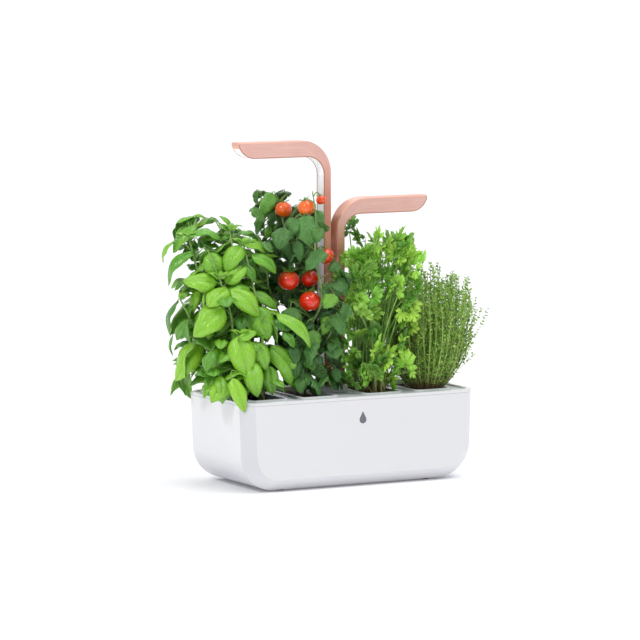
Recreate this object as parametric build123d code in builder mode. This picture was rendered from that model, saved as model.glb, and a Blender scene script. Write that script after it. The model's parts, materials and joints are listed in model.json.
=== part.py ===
from build123d import *
import os
from math import asin, atan2, cos, degrees, radians, sin, sqrt, tan

os.makedirs("parts", exist_ok=True)

# Indoor herb planter: a white basin with a water tank, four plant cartridges in a row,
# and two L-shaped lamps whose stems slide in a column at the centre.
# Millimetres. X runs along the row of plants, the front faces -Y, Z is up,
# and the origin is the middle of the footprint on the table.

# Basin
basin_length = 400.0
basin_depth = 205.5
foot_height = 2.5
shell_height = 131.0
rim_height = 4.8
side_draft = 2.0
corner_radius = 55.0
bevel_width = 17.5
bevel_depth = 20.0
shell_wall = 3.0

# Tank and deck
tank_gap = 1.0
tank_wall = 2.2
tank_floor_height = 36.0
ledge_width = 4.0
ledge_thickness = 2.5
deck_thickness = 3.0
deck_drop = 2.3
deck_gap = 0.4
slot_length = 140.0
slot_width = 60.0
slot_corner = 8.0
slot_spacing = 26.0
centre_strip = 50.0

# Cartridges
tray_depth = 66.0
tray_wall = 1.6
tray_draft = 3.0
tray_gap = 0.6
lip_width = 3.0
lip_height = 2.2
lip_round = 0.8
soil_drop = 4.5
soil_gap = 0.2
wick_radius = 5.0
wick_hang = 26.0
wick_soak = 35.0
wick_hole_gap = 1.0
wick_gap = 0.1

# Lamps
stem_gap = 9.8
stem_thickness = 12.7
lamp_depth = 24.5
lamp_reach = 162.5
head_height = 25.0
tip_height = 5.5
bow_length = 27.0
outer_bend = 50.0
inner_bend = 28.0
left_lamp_top = 523.0
lamp_travel = 90.0
cover_wall = 1.8
cover_chamfer = 1.5
strip_gap = 0.15
strip_recess = 0.4
strip_thickness = 2.0
seam_drop = 2.0
seam_gap = 0.4
shoe_cap = 4.0
shoe_plug = 12.0
shoe_gap = 0.15
board_thickness = 1.6
led_board_width = 17.0
led_count = 9
led_pitch = 9.0
led_size = 3.5
led_height = 1.2
heat_sink_width = 18.0
fin_count = 5
fin_slot = 1.6
bus_bar_width = 3.0
bus_bar_thickness = 1.0
bus_bar_offset = 5.0

# Lamp column
pocket_gap = 0.3
column_wall = 2.6
column_gap = 0.5
chimney_gap = 0.8
chimney_wall = 2.0
column_foot_width = 60.0
column_foot_depth = 50.0
column_foot_thickness = 3.0
pocket_floor = 20.0
stop_gap = 0.3
collar_height = 10.0
collar_edge = 2.4
rail_width = 3.0
rail_thickness = 1.0
rail_length = 100.0
rail_foot = 10.0
rail_offset = 4.5

# Base cover, feet and screws
hatch_length = 200.0
hatch_depth = 110.0
hatch_corner = 10.0
cover_margin = 6.0
base_cover_thickness = 1.8
foot_radius = 8.0
foot_inset_x = 74.0
foot_inset_y = 36.0
screw_radius = 1.5
screw_head_radius = 2.8
screw_head_height = 1.3
screw_length = 9.0
screw_gap = 0.1
boss_radius = 3.6
boss_height = 7.0
boss_reach = 5.0

# Electronics
control_board_length = 56.0
control_board_depth = 70.0
control_board_offset = 64.0
standoff_height = 5.0
standoff_radius = 2.5
chip_height = 4.0
capacitor_radius = 5.0
capacitor_height = 11.0
service_height = 28.5
socket_offset = 70.0
socket_radius = 5.5
socket_length = 14.0
socket_flange = 7.0
socket_flange_thickness = 1.2
socket_bore = 2.75
socket_pin = 1.0
button_offset = 96.0
button_radius = 6.0
button_gap = 0.06
button_travel = 1.5
button_stand = 1.6
button_flange = 1.2
button_length = 5.4
switch_stand = 12.0
switch_width = 26.0
switch_height = 12.0
post_radius = 2.2
spring_radius = 3.2
spring_wire = 0.5
sensor_length = 14.0
sensor_width = 8.0
sensor_height = 5.0
drop_radius = 6.0
drop_height = 19.0
drop_level = 103.0
drop_depth = 1.0

# Float and filler
float_offset = 50.0
rod_radius = 3.0
rod_foot_radius = 7.0
rod_foot_height = 3.5
float_radius = 11.5
float_height = 14.0
float_gap = 0.1
float_travel = 42.0
clip_radius = 5.0
clip_height = 2.5
clip_gap = 0.4
filler_width = 26.0
filler_length = 36.0
filler_offset = 50.0
filler_corner = 4.0
flap_margin = 3.0
flap_thickness = 2.4
flap_gap = 0.2
hinge_rise = 2.9
hinge_setback = 25.0
knuckle_radius = 2.5
knuckle_width = 6.0
knuckle_gap = 0.3
hinge_pin_radius = 1.25
hinge_fit = 0.06
hinge_back = 3.2

# Plants, and how far each cartridge lifts
cartridge_lift = 80.0
leaf_thickness = 1.0
stem_radius = 2.2
stem_tip_radius = 1.2
stalk_radius = 0.9
stalk_root = 0.8
stalk_rise_share = 0.6
foliage_gap = 1.5
lamp_clearance = 3.0
fruit_radius = 12.3
fruit_gap = 0.3
dimple_depth = 1.5
sprig_count = 24
sprig_stem_radius = 1.2
sprig_radius = 4.5
sprig_length = 198.0
sprig_knee = 40.0
sprig_knee_share = 0.8
sprig_fall_share = 0.55
crown_radius = 17.0
crown_height = 4.0
crown_offset_y = -45.0
dome_reach = 84.0
dome_depth = 60.0
dome_offset_x = 38.0
dome_offset_y = -22.0
golden_turn = 137.5
leaflet_turns = (-52, 0, 52)

# The sight line that the leaves' places below are read along: its turn from the front,
# its tilt from level, and the length that one step of a place stands for
sight_turn = 27.8
sight_tilt = 5.9
sight_step = 1.534

overrun = 5.0

# Levels and places worked out from these
shell_floor = foot_height
shell_top = shell_floor + shell_height
rim_top = shell_top + rim_height
half_length = basin_length / 2
half_depth = basin_depth / 2
lean = tan(radians(side_draft))
bevel_angle = atan2(bevel_width, bevel_depth)
side_share = tan(bevel_angle / 2)
panel_share = tan((radians(90) - bevel_angle) / 2)
tank_inset = shell_wall + tank_gap
mouth_inset = tank_inset + tank_wall
tank_floor_top = tank_floor_height + tank_wall
deck_top = rim_top - deck_drop
deck_bottom = deck_top - deck_thickness
slot_pitch = slot_width + slot_spacing
slot_near = centre_strip / 2 + slot_width / 2
slot_places = {
    "basil": -slot_near - slot_pitch,
    "tomato": -slot_near,
    "parsley": slot_near,
    "thyme": slot_near + slot_pitch,
}
soil_top = deck_top - soil_drop
tray_bottom = deck_top - tray_depth
stem_outer = stem_gap / 2
stem_inner = stem_outer + stem_thickness
column_half_width = stem_inner + pocket_gap + column_wall
column_half_depth = lamp_depth / 2 + pocket_gap + column_wall
stem_low = pocket_floor + stop_gap
lamp_length = left_lamp_top - lamp_travel - stem_low
base_cover_top = foot_height
base_cover_bottom = foot_height - base_cover_thickness


def basin_form(inset):
    """The basin's closed outer form, drawn in by inset on every side but its flat top."""
    floor = shell_floor + inset
    crown = shell_top + bevel_width
    half_top = half_length - inset
    half_crown = half_top + (crown - shell_top) * lean
    half_floor = half_top - (shell_top - floor) * lean
    break_y = half_depth - bevel_depth - inset * side_share
    with BuildPart() as form:
        for plane_y in (0, break_y):
            with BuildSketch(Plane.XZ.offset(plane_y)) as outline:
                with BuildLine():
                    Polyline(
                        (-half_crown, crown),
                        (-half_floor, floor),
                        (half_floor, floor),
                        (half_crown, crown),
                        close=True,
                    )
                make_face()
                fillet(outline.vertices().group_by(Axis.Y)[0], corner_radius - inset)
            if plane_y:
                extrude(amount=half_depth - inset - break_y, taper=degrees(bevel_angle))
            else:
                extrude(amount=break_y)
        split(bisect_by=Plane.XY.offset(shell_top), keep=Keep.BOTTOM)
        mirror(about=Plane.XZ)
    return form.part


def rim_outline(inset):
    """The top outline of the basin with its bevelled corners, drawn in by inset."""
    side_x = half_length - inset
    front_y = half_depth - inset
    break_y = half_depth - bevel_depth - inset * side_share
    panel_x = half_length - bevel_width - inset * panel_share
    with BuildSketch() as outline:
        with BuildLine():
            Polyline(
                (side_x, -break_y),
                (side_x, break_y),
                (panel_x, front_y),
                (-panel_x, front_y),
                (-side_x, break_y),
                (-side_x, -break_y),
                (-panel_x, -front_y),
                (panel_x, -front_y),
                close=True,
            )
        make_face()
    return outline.sketch


def keep(part, name):
    """Label a finished piece and write it to its own file."""
    part.label = name
    export_step(part, f"parts/{name}.step")


# Shell of the basin, with the hatch in its floor and its rear openings
shell_form = basin_form(0)
shell_hollow = basin_form(shell_wall)
hatch_screw_x = hatch_length / 2 + cover_margin / 2
hatch_screws = [
    (side_x * hatch_screw_x, side_y * (hatch_depth / 2 - hatch_corner))
    for side_x in (-1, 1)
    for side_y in (-1, 0, 1)
]
inner_rear = half_depth - shell_wall
post_x = switch_width / 2 - post_radius


def drop_outline(plane, gap):
    """A plain water drop: a round foot with two flanks that meet at the tip."""
    radius = drop_radius - gap
    tip = drop_height - drop_radius - gap
    with BuildSketch(plane) as outline:
        Circle(radius)
        with BuildLine():
            Polyline(
                (-radius * cos(asin(radius / tip)), radius * radius / tip),
                (0, tip),
                (radius * cos(asin(radius / tip)), radius * radius / tip),
                close=True,
            )
        make_face()
    return outline.sketch


drop_plane = Plane(
    origin=(0, -half_depth, drop_level), x_dir=(1, 0, 0), z_dir=(0, -1, 0)
)
drop_recess = drop_outline(drop_plane, 0)
drop_face = drop_outline(drop_plane, strip_gap)

with BuildPart() as basin_shell:
    add(shell_form)
    add(shell_hollow, mode=Mode.SUBTRACT)
    with BuildSketch(Plane.XY.offset(shell_floor)):
        RectangleRounded(hatch_length, hatch_depth, hatch_corner)
    extrude(amount=shell_wall, mode=Mode.SUBTRACT)
    with BuildSketch(Plane.XY.offset(shell_floor + shell_wall)):
        with Locations(*hatch_screws):
            Circle(boss_radius)
    extrude(amount=boss_height)
    with BuildSketch(Plane.XY.offset(shell_floor)):
        with Locations(*hatch_screws):
            Circle(screw_radius + screw_gap)
    extrude(amount=shell_wall + boss_height, mode=Mode.SUBTRACT)
    with BuildSketch(Plane.XZ.offset(-inner_rear)):
        with Locations(
            (button_offset - post_x, service_height),
            (button_offset + post_x, service_height),
        ):
            Circle(post_radius)
    extrude(amount=switch_stand)
    with BuildSketch(Plane.XZ.offset(-inner_rear)):
        with Locations((socket_offset, service_height)):
            Circle(socket_radius + screw_gap)
        with Locations((button_offset, service_height)):
            Circle(button_radius + button_gap)
    extrude(amount=-shell_wall, mode=Mode.SUBTRACT)
    extrude(drop_recess, amount=-drop_depth, mode=Mode.SUBTRACT)
keep(basin_shell.part, "basin_shell")

with BuildPart() as indicator_lens:
    extrude(drop_face, amount=-drop_depth)
keep(indicator_lens.part, "indicator_lens")

# Water tank: a tub that hangs in the shell by its rim, with a chimney for the lamp column
tank_form = basin_form(tank_inset)
tank_hollow = basin_form(mouth_inset)
chimney_half_width = column_half_width + chimney_gap
chimney_half_depth = column_half_depth + chimney_gap
chimney_top = deck_bottom - ledge_thickness
tank_mouth = rim_outline(mouth_inset)
with BuildPart() as tank_outer:
    add(tank_form)
    split(bisect_by=Plane.XY.offset(tank_floor_height), keep=Keep.TOP)
with BuildPart() as tank_inner:
    add(tank_hollow)
    split(bisect_by=Plane.XY.offset(tank_floor_top), keep=Keep.TOP)
with BuildPart() as water_tank:
    add(tank_outer.part)
    add(tank_inner.part, mode=Mode.SUBTRACT)
    with BuildSketch(Plane.XY.offset(shell_top)):
        add(rim_outline(0))
        add(tank_mouth, mode=Mode.SUBTRACT)
    extrude(amount=rim_height)
    with BuildSketch(Plane.XY.offset(deck_bottom)):
        add(rim_outline(mouth_inset - tank_wall / 2))
        add(rim_outline(mouth_inset + ledge_width), mode=Mode.SUBTRACT)
    extrude(amount=-ledge_thickness)
    with BuildSketch(Plane.XY.offset(tank_floor_height)):
        Rectangle(
            2 * (chimney_half_width + chimney_wall),
            2 * (chimney_half_depth + chimney_wall),
        )
    extrude(amount=chimney_top - tank_floor_height)
    with BuildSketch(Plane.XY.offset(tank_floor_height)):
        Rectangle(2 * chimney_half_width, 2 * chimney_half_depth)
    extrude(amount=chimney_top - tank_floor_height, mode=Mode.SUBTRACT)
keep(water_tank.part, "water_tank")

# Deck plate: four slots, the column's opening, the filler opening and the hinge ears
hinge_y = filler_offset + hinge_setback
hinge_z = deck_top + hinge_rise
flap_front = filler_offset - filler_length / 2 - flap_margin
flap_width = filler_width + 2 * flap_margin
ear_x = flap_width / 2 - knuckle_width / 2
with BuildPart() as deck:
    with BuildSketch(Plane.XY.offset(deck_bottom)):
        add(rim_outline(mouth_inset + deck_gap))
        with Locations(*[(place, 0) for place in slot_places.values()]):
            RectangleRounded(slot_width, slot_length, slot_corner, mode=Mode.SUBTRACT)
        Rectangle(
            2 * (column_half_width + column_gap),
            2 * (column_half_depth + column_gap),
            mode=Mode.SUBTRACT,
        )
        with Locations((0, filler_offset)):
            RectangleRounded(
                filler_width, filler_length, filler_corner, mode=Mode.SUBTRACT
            )
    extrude(amount=deck_thickness)
    for side in (-1, 1):
        with BuildSketch(Plane.YZ.offset(side * ear_x - knuckle_width / 2)):
            with Locations((hinge_y, hinge_z)):
                Circle(knuckle_radius)
            with Locations((hinge_y, deck_top + hinge_rise / 2)):
                Rectangle(2 * knuckle_radius, hinge_rise)
        extrude(amount=knuckle_width)
        with BuildSketch(Plane.YZ.offset(side * ear_x - knuckle_width / 2)):
            with Locations((hinge_y, hinge_z)):
                Circle(hinge_pin_radius)
        extrude(amount=knuckle_width, mode=Mode.SUBTRACT)
keep(deck.part, "deck")

# Filler flap and its pin
inner_span = flap_width - 2 * knuckle_width - 2 * knuckle_gap
flap_length = hinge_y - hinge_back - flap_front
flap_middle = deck_top + flap_gap + flap_thickness / 2
with BuildPart() as filler_flap:
    with BuildSketch(Plane.XY.offset(deck_top + flap_gap)):
        with Locations((0, flap_front + flap_length / 2)):
            Rectangle(flap_width, flap_length)
    extrude(amount=flap_thickness)
    fillet(filler_flap.edges().filter_by(Axis.Z).group_by(Axis.Y)[0], filler_corner)
    fillet(filler_flap.faces().sort_by(Axis.Z)[-1].edges().group_by(Axis.Y)[0], lip_round)
    with BuildSketch(Plane.YZ.offset(-inner_span / 2)):
        with Locations((hinge_y, hinge_z)):
            Circle(knuckle_radius)
        with Locations((hinge_y - (hinge_back + knuckle_radius) / 2, flap_middle)):
            Rectangle(hinge_back + knuckle_radius, flap_thickness)
    extrude(amount=inner_span)
    with BuildSketch(Plane.YZ.offset(-inner_span / 2)):
        with Locations((hinge_y, hinge_z)):
            Circle(hinge_pin_radius + hinge_fit)
    extrude(amount=inner_span, mode=Mode.SUBTRACT)
keep(filler_flap.part, "filler_flap")

with BuildPart() as filler_hinge_pin:
    with BuildSketch(Plane.YZ.offset(-flap_width / 2)):
        with Locations((hinge_y, hinge_z)):
            Circle(hinge_pin_radius)
    extrude(amount=flap_width)
keep(filler_hinge_pin.part, "filler_hinge_pin")

# Base cover with standoffs, its screws and the feet
board_places = [
    (control_board_offset + side_x * (control_board_length / 2 - standoff_radius),
     side_y * (control_board_depth / 2 - standoff_radius))
    for side_x in (-1, 1)
    for side_y in (-1, 1)
]
column_screws_at = [
    (side_x * (column_foot_width / 2 - boss_reach), side_y * (column_foot_depth / 2 - boss_reach))
    for side_x in (-1, 1)
    for side_y in (-1, 1)
]
with BuildPart() as base_cover:
    with BuildSketch(Plane.XY.offset(base_cover_bottom)):
        RectangleRounded(
            hatch_length + 2 * cover_margin, hatch_depth + 2 * cover_margin, hatch_corner
        )
    extrude(amount=base_cover_thickness)
    with BuildSketch(Plane.XY.offset(base_cover_top)):
        with Locations(*board_places):
            Circle(standoff_radius)
    extrude(amount=standoff_height)
    with BuildSketch(Plane.XY.offset(base_cover_bottom)):
        with Locations(*hatch_screws, *column_screws_at):
            Circle(screw_radius + screw_gap)
    extrude(amount=base_cover_thickness, mode=Mode.SUBTRACT)
    with BuildSketch(Plane.XY.offset(base_cover_bottom)):
        with Locations(*hatch_screws, *column_screws_at):
            Circle(screw_head_radius + screw_gap)
    extrude(amount=screw_head_height, mode=Mode.SUBTRACT)
keep(base_cover.part, "base_cover")


def screw_group(places, length):
    """Flat-headed screws that stand in the base cover, heads down."""
    with BuildPart() as screws:
        with BuildSketch(Plane.XY.offset(base_cover_bottom)):
            with Locations(*places):
                Circle(screw_head_radius)
        extrude(amount=screw_head_height)
        with BuildSketch(Plane.XY.offset(base_cover_bottom + screw_head_height)):
            with Locations(*places):
                Circle(screw_radius)
        extrude(amount=length)
    return screws.part


keep(screw_group(hatch_screws, screw_length), "base_screws")
column_screw_length = base_cover_thickness - screw_head_height + column_foot_thickness
keep(screw_group(column_screws_at, column_screw_length), "column_screws")

foot_places = [
    (side_x * (half_length - foot_inset_x), side_y * (half_depth - foot_inset_y))
    for side_x in (-1, 1)
    for side_y in (-1, 1)
]
with BuildPart() as feet:
    with BuildSketch():
        with Locations(*foot_places):
            Circle(foot_radius)
    extrude(amount=foot_height)
    chamfer(feet.faces().group_by(Axis.Z)[0].edges(), foot_height / 4)
keep(feet.part, "feet")

# Lamp column with its two guide pockets and four contact rails
pocket_width = stem_thickness + 2 * pocket_gap
pocket_depth = lamp_depth + 2 * pocket_gap
pocket_x = stem_outer + stem_thickness / 2
web_half = stem_outer - pocket_gap
rail_bottom = pocket_floor + rail_foot
rail_places = [
    (side_x * (web_half - rail_thickness / 2), side_y * rail_offset)
    for side_x in (-1, 1)
    for side_y in (-1, 1)
]
with BuildPart() as lamp_column:
    with BuildSketch(Plane.XY.offset(base_cover_top)):
        Rectangle(column_foot_width, column_foot_depth)
    extrude(amount=column_foot_thickness)
    with BuildSketch(Plane.XY.offset(base_cover_top)):
        Rectangle(2 * column_half_width, 2 * column_half_depth)
    extrude(amount=deck_top - base_cover_top)
    with BuildSketch(Plane.XY.offset(pocket_floor)):
        with Locations((-pocket_x, 0), (pocket_x, 0)):
            Rectangle(pocket_width, pocket_depth)
    extrude(amount=deck_top - pocket_floor, mode=Mode.SUBTRACT)
    with BuildSketch(Plane.XY.offset(rail_bottom)):
        with Locations(*rail_places):
            Rectangle(rail_thickness, rail_width)
    extrude(amount=rail_length, mode=Mode.SUBTRACT)
    with BuildSketch(Plane.XY.offset(base_cover_top)):
        with Locations(*column_screws_at):
            Circle(screw_radius + screw_gap)
    extrude(amount=column_foot_thickness, mode=Mode.SUBTRACT)
keep(lamp_column.part, "lamp_column")

with BuildPart() as contact_rails:
    with BuildSketch(Plane.XY.offset(rail_bottom)):
        with Locations(*rail_places):
            Rectangle(rail_thickness, rail_width)
    extrude(amount=rail_length)
keep(contact_rails.part, "contact_rails")

with BuildPart() as lamp_collar:
    with BuildSketch(Plane.XY.offset(deck_top)):
        Rectangle(2 * column_half_width, 2 * (column_half_depth + collar_edge))
    extrude(amount=collar_height)
    fillet(lamp_collar.edges().filter_by(Axis.Z), collar_edge)
    fillet(lamp_collar.faces().sort_by(Axis.Z)[-1].edges(), lip_round)
    with BuildSketch(Plane.XY.offset(deck_top)):
        with Locations((-pocket_x, 0), (pocket_x, 0)):
            Rectangle(pocket_width, pocket_depth)
    extrude(amount=collar_height, mode=Mode.SUBTRACT)
keep(lamp_collar.part, "lamp_collar")

# Control board on its standoffs
board_bottom = base_cover_top + standoff_height
with BuildPart() as control_board:
    with BuildSketch(Plane.XY.offset(board_bottom)):
        with Locations((control_board_offset, 0)):
            Rectangle(control_board_length, control_board_depth)
    extrude(amount=board_thickness)
    with BuildSketch(Plane.XY.offset(board_bottom + board_thickness)):
        with Locations((control_board_offset, 0)):
            Rectangle(control_board_length / 4, control_board_length / 4)
            with Locations((0, control_board_depth / 3)):
                Rectangle(control_board_length / 3, control_board_depth / 8)
    extrude(amount=chip_height)
    with BuildSketch(Plane.XY.offset(board_bottom + board_thickness)):
        with Locations((control_board_offset, -control_board_depth / 3)):
            with GridLocations(3 * capacitor_radius, capacitor_radius, 2, 1):
                Circle(capacitor_radius)
    extrude(amount=capacitor_height)
keep(control_board.part, "control_board")

# Power inlet in the rear wall
with BuildPart() as dc_socket:
    with BuildSketch(Plane.XZ.offset(-half_depth)):
        with Locations((socket_offset, service_height)):
            Circle(socket_radius)
    extrude(amount=socket_length)
    with BuildSketch(Plane.XZ.offset(-inner_rear)):
        with Locations((socket_offset, service_height)):
            Circle(socket_flange)
    extrude(amount=socket_flange_thickness)
    with BuildSketch(Plane.XZ.offset(-half_depth)):
        with Locations((socket_offset, service_height)):
            Circle(socket_bore)
            Circle(socket_pin, mode=Mode.SUBTRACT)
    extrude(amount=socket_length - socket_flange_thickness, mode=Mode.SUBTRACT)
keep(dc_socket.part, "dc_socket")

# Power button, its spring and the board that carries its switch
button_inner = inner_rear - button_flange
switch_face = inner_rear - switch_stand
with BuildPart() as power_button:
    with BuildSketch(Plane.XZ.offset(-(half_depth + button_stand))):
        with Locations((button_offset, service_height)):
            Circle(button_radius)
    extrude(amount=half_depth + button_stand - inner_rear)
    fillet(power_button.faces().sort_by(Axis.Y)[-1].edges(), lip_round)
    with BuildSketch(Plane.XZ.offset(-inner_rear)):
        with Locations((button_offset, service_height)):
            Circle(button_radius + button_flange)
    extrude(amount=button_flange)
    with BuildSketch(Plane.XZ.offset(-button_inner)):
        with Locations((button_offset, service_height)):
            Circle(spring_radius - 2 * spring_wire)
    extrude(amount=button_length)
keep(power_button.part, "power_button")

with BuildPart() as button_spring:
    with BuildSketch(Plane.XZ.offset(-button_inner)):
        with Locations((button_offset, service_height)):
            Circle(spring_radius + spring_wire)
            Circle(spring_radius - spring_wire, mode=Mode.SUBTRACT)
    extrude(amount=button_inner - switch_face)
keep(button_spring.part, "button_spring")

with BuildPart() as switch_board:
    with BuildSketch(Plane.XZ.offset(-switch_face)):
        with Locations((button_offset, service_height)):
            Rectangle(switch_width, switch_height)
    extrude(amount=board_thickness)
    with BuildSketch(Plane.XZ.offset(-switch_face)):
        with Locations((button_offset, service_height)):
            Circle(spring_radius - 2 * spring_wire)
    extrude(amount=-(button_inner - button_length - button_travel - stop_gap - switch_face))
keep(switch_board.part, "switch_board")

# Float on its rod, and the sensor under the tank floor
float_bottom = tank_floor_top + rod_foot_height
rod_height = float_gap + float_height + float_travel + clip_gap + clip_height
with BuildPart() as float_rod:
    with BuildSketch(Plane.XY.offset(tank_floor_top)):
        with Locations((0, -float_offset)):
            Circle(rod_foot_radius)
    extrude(amount=rod_foot_height)
    with BuildSketch(Plane.XY.offset(float_bottom)):
        with Locations((0, -float_offset)):
            Circle(rod_radius)
    extrude(amount=rod_height)
    with BuildSketch(Plane.XY.offset(float_bottom + rod_height - clip_height)):
        with Locations((0, -float_offset)):
            Circle(clip_radius)
    extrude(amount=clip_height)
keep(float_rod.part, "float_rod")

with BuildPart() as float_ring:
    with BuildSketch(Plane.XY.offset(float_bottom + float_gap)):
        with Locations((0, -float_offset)):
            Circle(float_radius)
    extrude(amount=float_height)
    fillet(float_ring.edges(), lip_round)
    with BuildSketch(Plane.XY.offset(float_bottom)):
        with Locations((0, -float_offset)):
            Circle(rod_radius + float_gap)
    extrude(amount=float_height + overrun, mode=Mode.SUBTRACT)
keep(float_ring.part, "float_ring")

with BuildPart() as level_sensor:
    with BuildSketch(Plane.XY.offset(tank_floor_height)):
        with Locations((0, -float_offset)):
            Rectangle(sensor_length, sensor_width)
    extrude(amount=-sensor_height)
keep(level_sensor.part, "level_sensor")

# Cartridges: tray, substrate and wick, one set for each slot
tray_width = slot_width - 2 * tray_gap
tray_length = slot_length - 2 * tray_gap
tray_lean = tan(radians(tray_draft))
wick_bottom = tray_bottom - wick_hang
soil_bottom = tray_bottom + tray_wall


def tray_hollow(plane_z, bottom, gap):
    """The tapered hollow of a tray from plane_z down, or the substrate in it, smaller by gap."""
    sink = tray_wall + (deck_top - plane_z) * tray_lean + gap
    with BuildPart() as hollow:
        with BuildSketch(Plane.XY.offset(plane_z)):
            RectangleRounded(
                tray_width - 2 * sink, tray_length - 2 * sink, slot_corner - tray_wall
            )
        extrude(amount=bottom - plane_z, taper=tray_draft)
    return hollow.part


tray_inside = tray_hollow(deck_top + lip_height, soil_bottom, 0)
substrate_block = tray_hollow(soil_top, soil_bottom, soil_gap)

for plant, place in slot_places.items():
    with BuildPart() as tray:
        with BuildSketch(Plane.XY.offset(deck_top)):
            RectangleRounded(tray_width, tray_length, slot_corner)
        extrude(amount=-tray_depth, taper=tray_draft)
        with BuildSketch(Plane.XY.offset(deck_top)):
            RectangleRounded(
                slot_width + 2 * lip_width, slot_length + 2 * lip_width, slot_corner + lip_width
            )
        extrude(amount=lip_height)
        fillet(tray.faces().sort_by(Axis.Z)[-1].edges(), lip_round)
        add(tray_inside, mode=Mode.SUBTRACT)
        with BuildSketch(Plane.XY.offset(tray_bottom)):
            Circle(wick_radius + wick_hole_gap)
        extrude(amount=tray_wall, mode=Mode.SUBTRACT)
    keep(tray.part.moved(Location((place, 0, 0))), f"{plant}_tray")

    with BuildPart() as substrate:
        add(substrate_block)
        with BuildSketch(Plane.XY.offset(soil_bottom)):
            Circle(wick_radius + wick_gap)
        extrude(amount=wick_soak, mode=Mode.SUBTRACT)
    keep(substrate.part.moved(Location((place, 0, 0))), f"{plant}_substrate")

    with BuildPart() as wick:
        with BuildSketch(Plane.XY.offset(wick_bottom)):
            Circle(wick_radius)
        extrude(amount=soil_bottom + wick_soak - wick_bottom)
    keep(wick.part.moved(Location((place, 0, 0))), f"{plant}_wick")

# Lamps: an L-shaped channel with a strip that closes its inner side
bow_rise = head_height - tip_height
bow_radius = (bow_length**2 + bow_rise**2) / (2 * bow_rise)
head_tip = lamp_reach
bow_start = head_tip - bow_length
bend_x = stem_inner + inner_bend
bend_z = -head_height - inner_bend
seam_z = bend_z - seam_drop


def bow_end(inset, tip_x):
    """Angle and height where the bowed underside, raised by inset, meets tip_x."""
    radius = bow_radius - inset
    angle = asin((tip_x - bow_start) / radius)
    return degrees(angle), -head_height + bow_radius - radius * cos(angle)


def lamp_body(outer_inset, bottom):
    """Closed L-shape of a lamp, heights below its top, drawn in on its outer side."""
    outer_x = stem_outer + outer_inset
    radius = outer_bend - outer_inset
    bow_angle, tip_z = bow_end(0, head_tip)
    with BuildSketch(Plane.XZ) as outline:
        with BuildLine():
            Line((outer_x, bottom), (outer_x, -outer_bend))
            CenterArc((stem_outer + outer_bend, -outer_bend), radius, 180, -90)
            Line((stem_outer + outer_bend, -outer_inset), (head_tip, -outer_inset))
            Line((head_tip, -outer_inset), (head_tip, tip_z))
            CenterArc((bow_start, -head_height + bow_radius), bow_radius, -90, bow_angle)
            Line((bow_start, -head_height), (bend_x, -head_height))
            CenterArc((bend_x, bend_z), inner_bend, 90, 90)
            Line((stem_inner, bend_z), (stem_inner, bottom))
            Line((stem_inner, bottom), (outer_x, bottom))
        make_face()
    return outline.sketch


def lamp_hollow(bottom):
    """Inside of the channel: open through the inner side, closed at the outer side and tip."""
    outer_x = stem_outer + cover_wall
    open_x = stem_inner + overrun
    open_z = -head_height - overrun
    with BuildSketch(Plane.XZ) as outline:
        with BuildLine():
            Line((outer_x, bottom), (outer_x, -outer_bend))
            CenterArc((stem_outer + outer_bend, -outer_bend), outer_bend - cover_wall, 180, -90)
            Line((stem_outer + outer_bend, -cover_wall), (head_tip - cover_wall, -cover_wall))
            Line((head_tip - cover_wall, -cover_wall), (head_tip - cover_wall, open_z))
            Line((head_tip - cover_wall, open_z), (bend_x, open_z))
            CenterArc((bend_x, bend_z), inner_bend - overrun, 90, 90)
            Line((open_x, bend_z), (open_x, bottom))
            Line((open_x, bottom), (outer_x, bottom))
        make_face()
    return outline.sketch


def diffuser_outline():
    """Strip under the head and round the inner bend, from the tip wall to the seam."""
    near = strip_recess
    far = strip_recess + strip_thickness
    end_x = head_tip - cover_wall - strip_gap
    near_angle, near_z = bow_end(near, end_x)
    far_angle, far_z = bow_end(far, end_x)
    bow_centre = (bow_start, -head_height + bow_radius)
    with BuildSketch(Plane.XZ) as outline:
        with BuildLine():
            Line((stem_inner - near, seam_z), (stem_inner - near, bend_z))
            CenterArc((bend_x, bend_z), inner_bend + near, 180, -90)
            Line((bend_x, -head_height + near), (bow_start, -head_height + near))
            CenterArc(bow_centre, bow_radius - near, -90, near_angle)
            Line((end_x, near_z), (end_x, far_z))
            CenterArc(bow_centre, bow_radius - far, -90, far_angle)
            Line((bow_start, -head_height + far), (bend_x, -head_height + far))
            CenterArc((bend_x, bend_z), inner_bend + far, 180, -90)
            Line((stem_inner - far, bend_z), (stem_inner - far, seam_z))
            Line((stem_inner - far, seam_z), (stem_inner - near, seam_z))
        make_face()
    return outline.sketch


strip_half = lamp_depth / 2 - cover_wall - strip_gap
cover_bottom = -lamp_length + shoe_cap
sink_top = -cover_wall
sink_bottom = -head_height + strip_recess + strip_thickness + led_height + board_thickness
sink_start = stem_outer + outer_bend
sink_end = bow_start
sink_middle = (sink_start + sink_end) / 2
fin_gap = (sink_top - sink_bottom) / 2
bus_bar_x = stem_inner - strip_recess - strip_thickness
plug_outer = stem_outer + cover_wall + shoe_gap
plug_inner = bus_bar_x - shoe_gap

lamp_outer = lamp_body(0, cover_bottom)
lamp_inside = lamp_hollow(cover_bottom)
diffuser_face = diffuser_outline()

with BuildPart() as lamp_cover:
    extrude(lamp_outer, amount=lamp_depth / 2, both=True)
    chamfer(lamp_cover.faces().sort_by(Axis.X)[0].edges().filter_by(Axis.Z), cover_chamfer)
    extrude(lamp_inside, amount=lamp_depth / 2 - cover_wall, both=True, mode=Mode.SUBTRACT)

with BuildPart() as lamp_diffuser:
    extrude(diffuser_face, amount=strip_half, both=True)

with BuildPart() as lamp_stem_liner:
    with BuildSketch(Plane.XY.offset(cover_bottom)):
        with Locations((stem_inner - strip_recess - strip_thickness / 2, 0)):
            Rectangle(strip_thickness, 2 * strip_half)
    extrude(amount=seam_z - seam_gap - cover_bottom)

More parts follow.
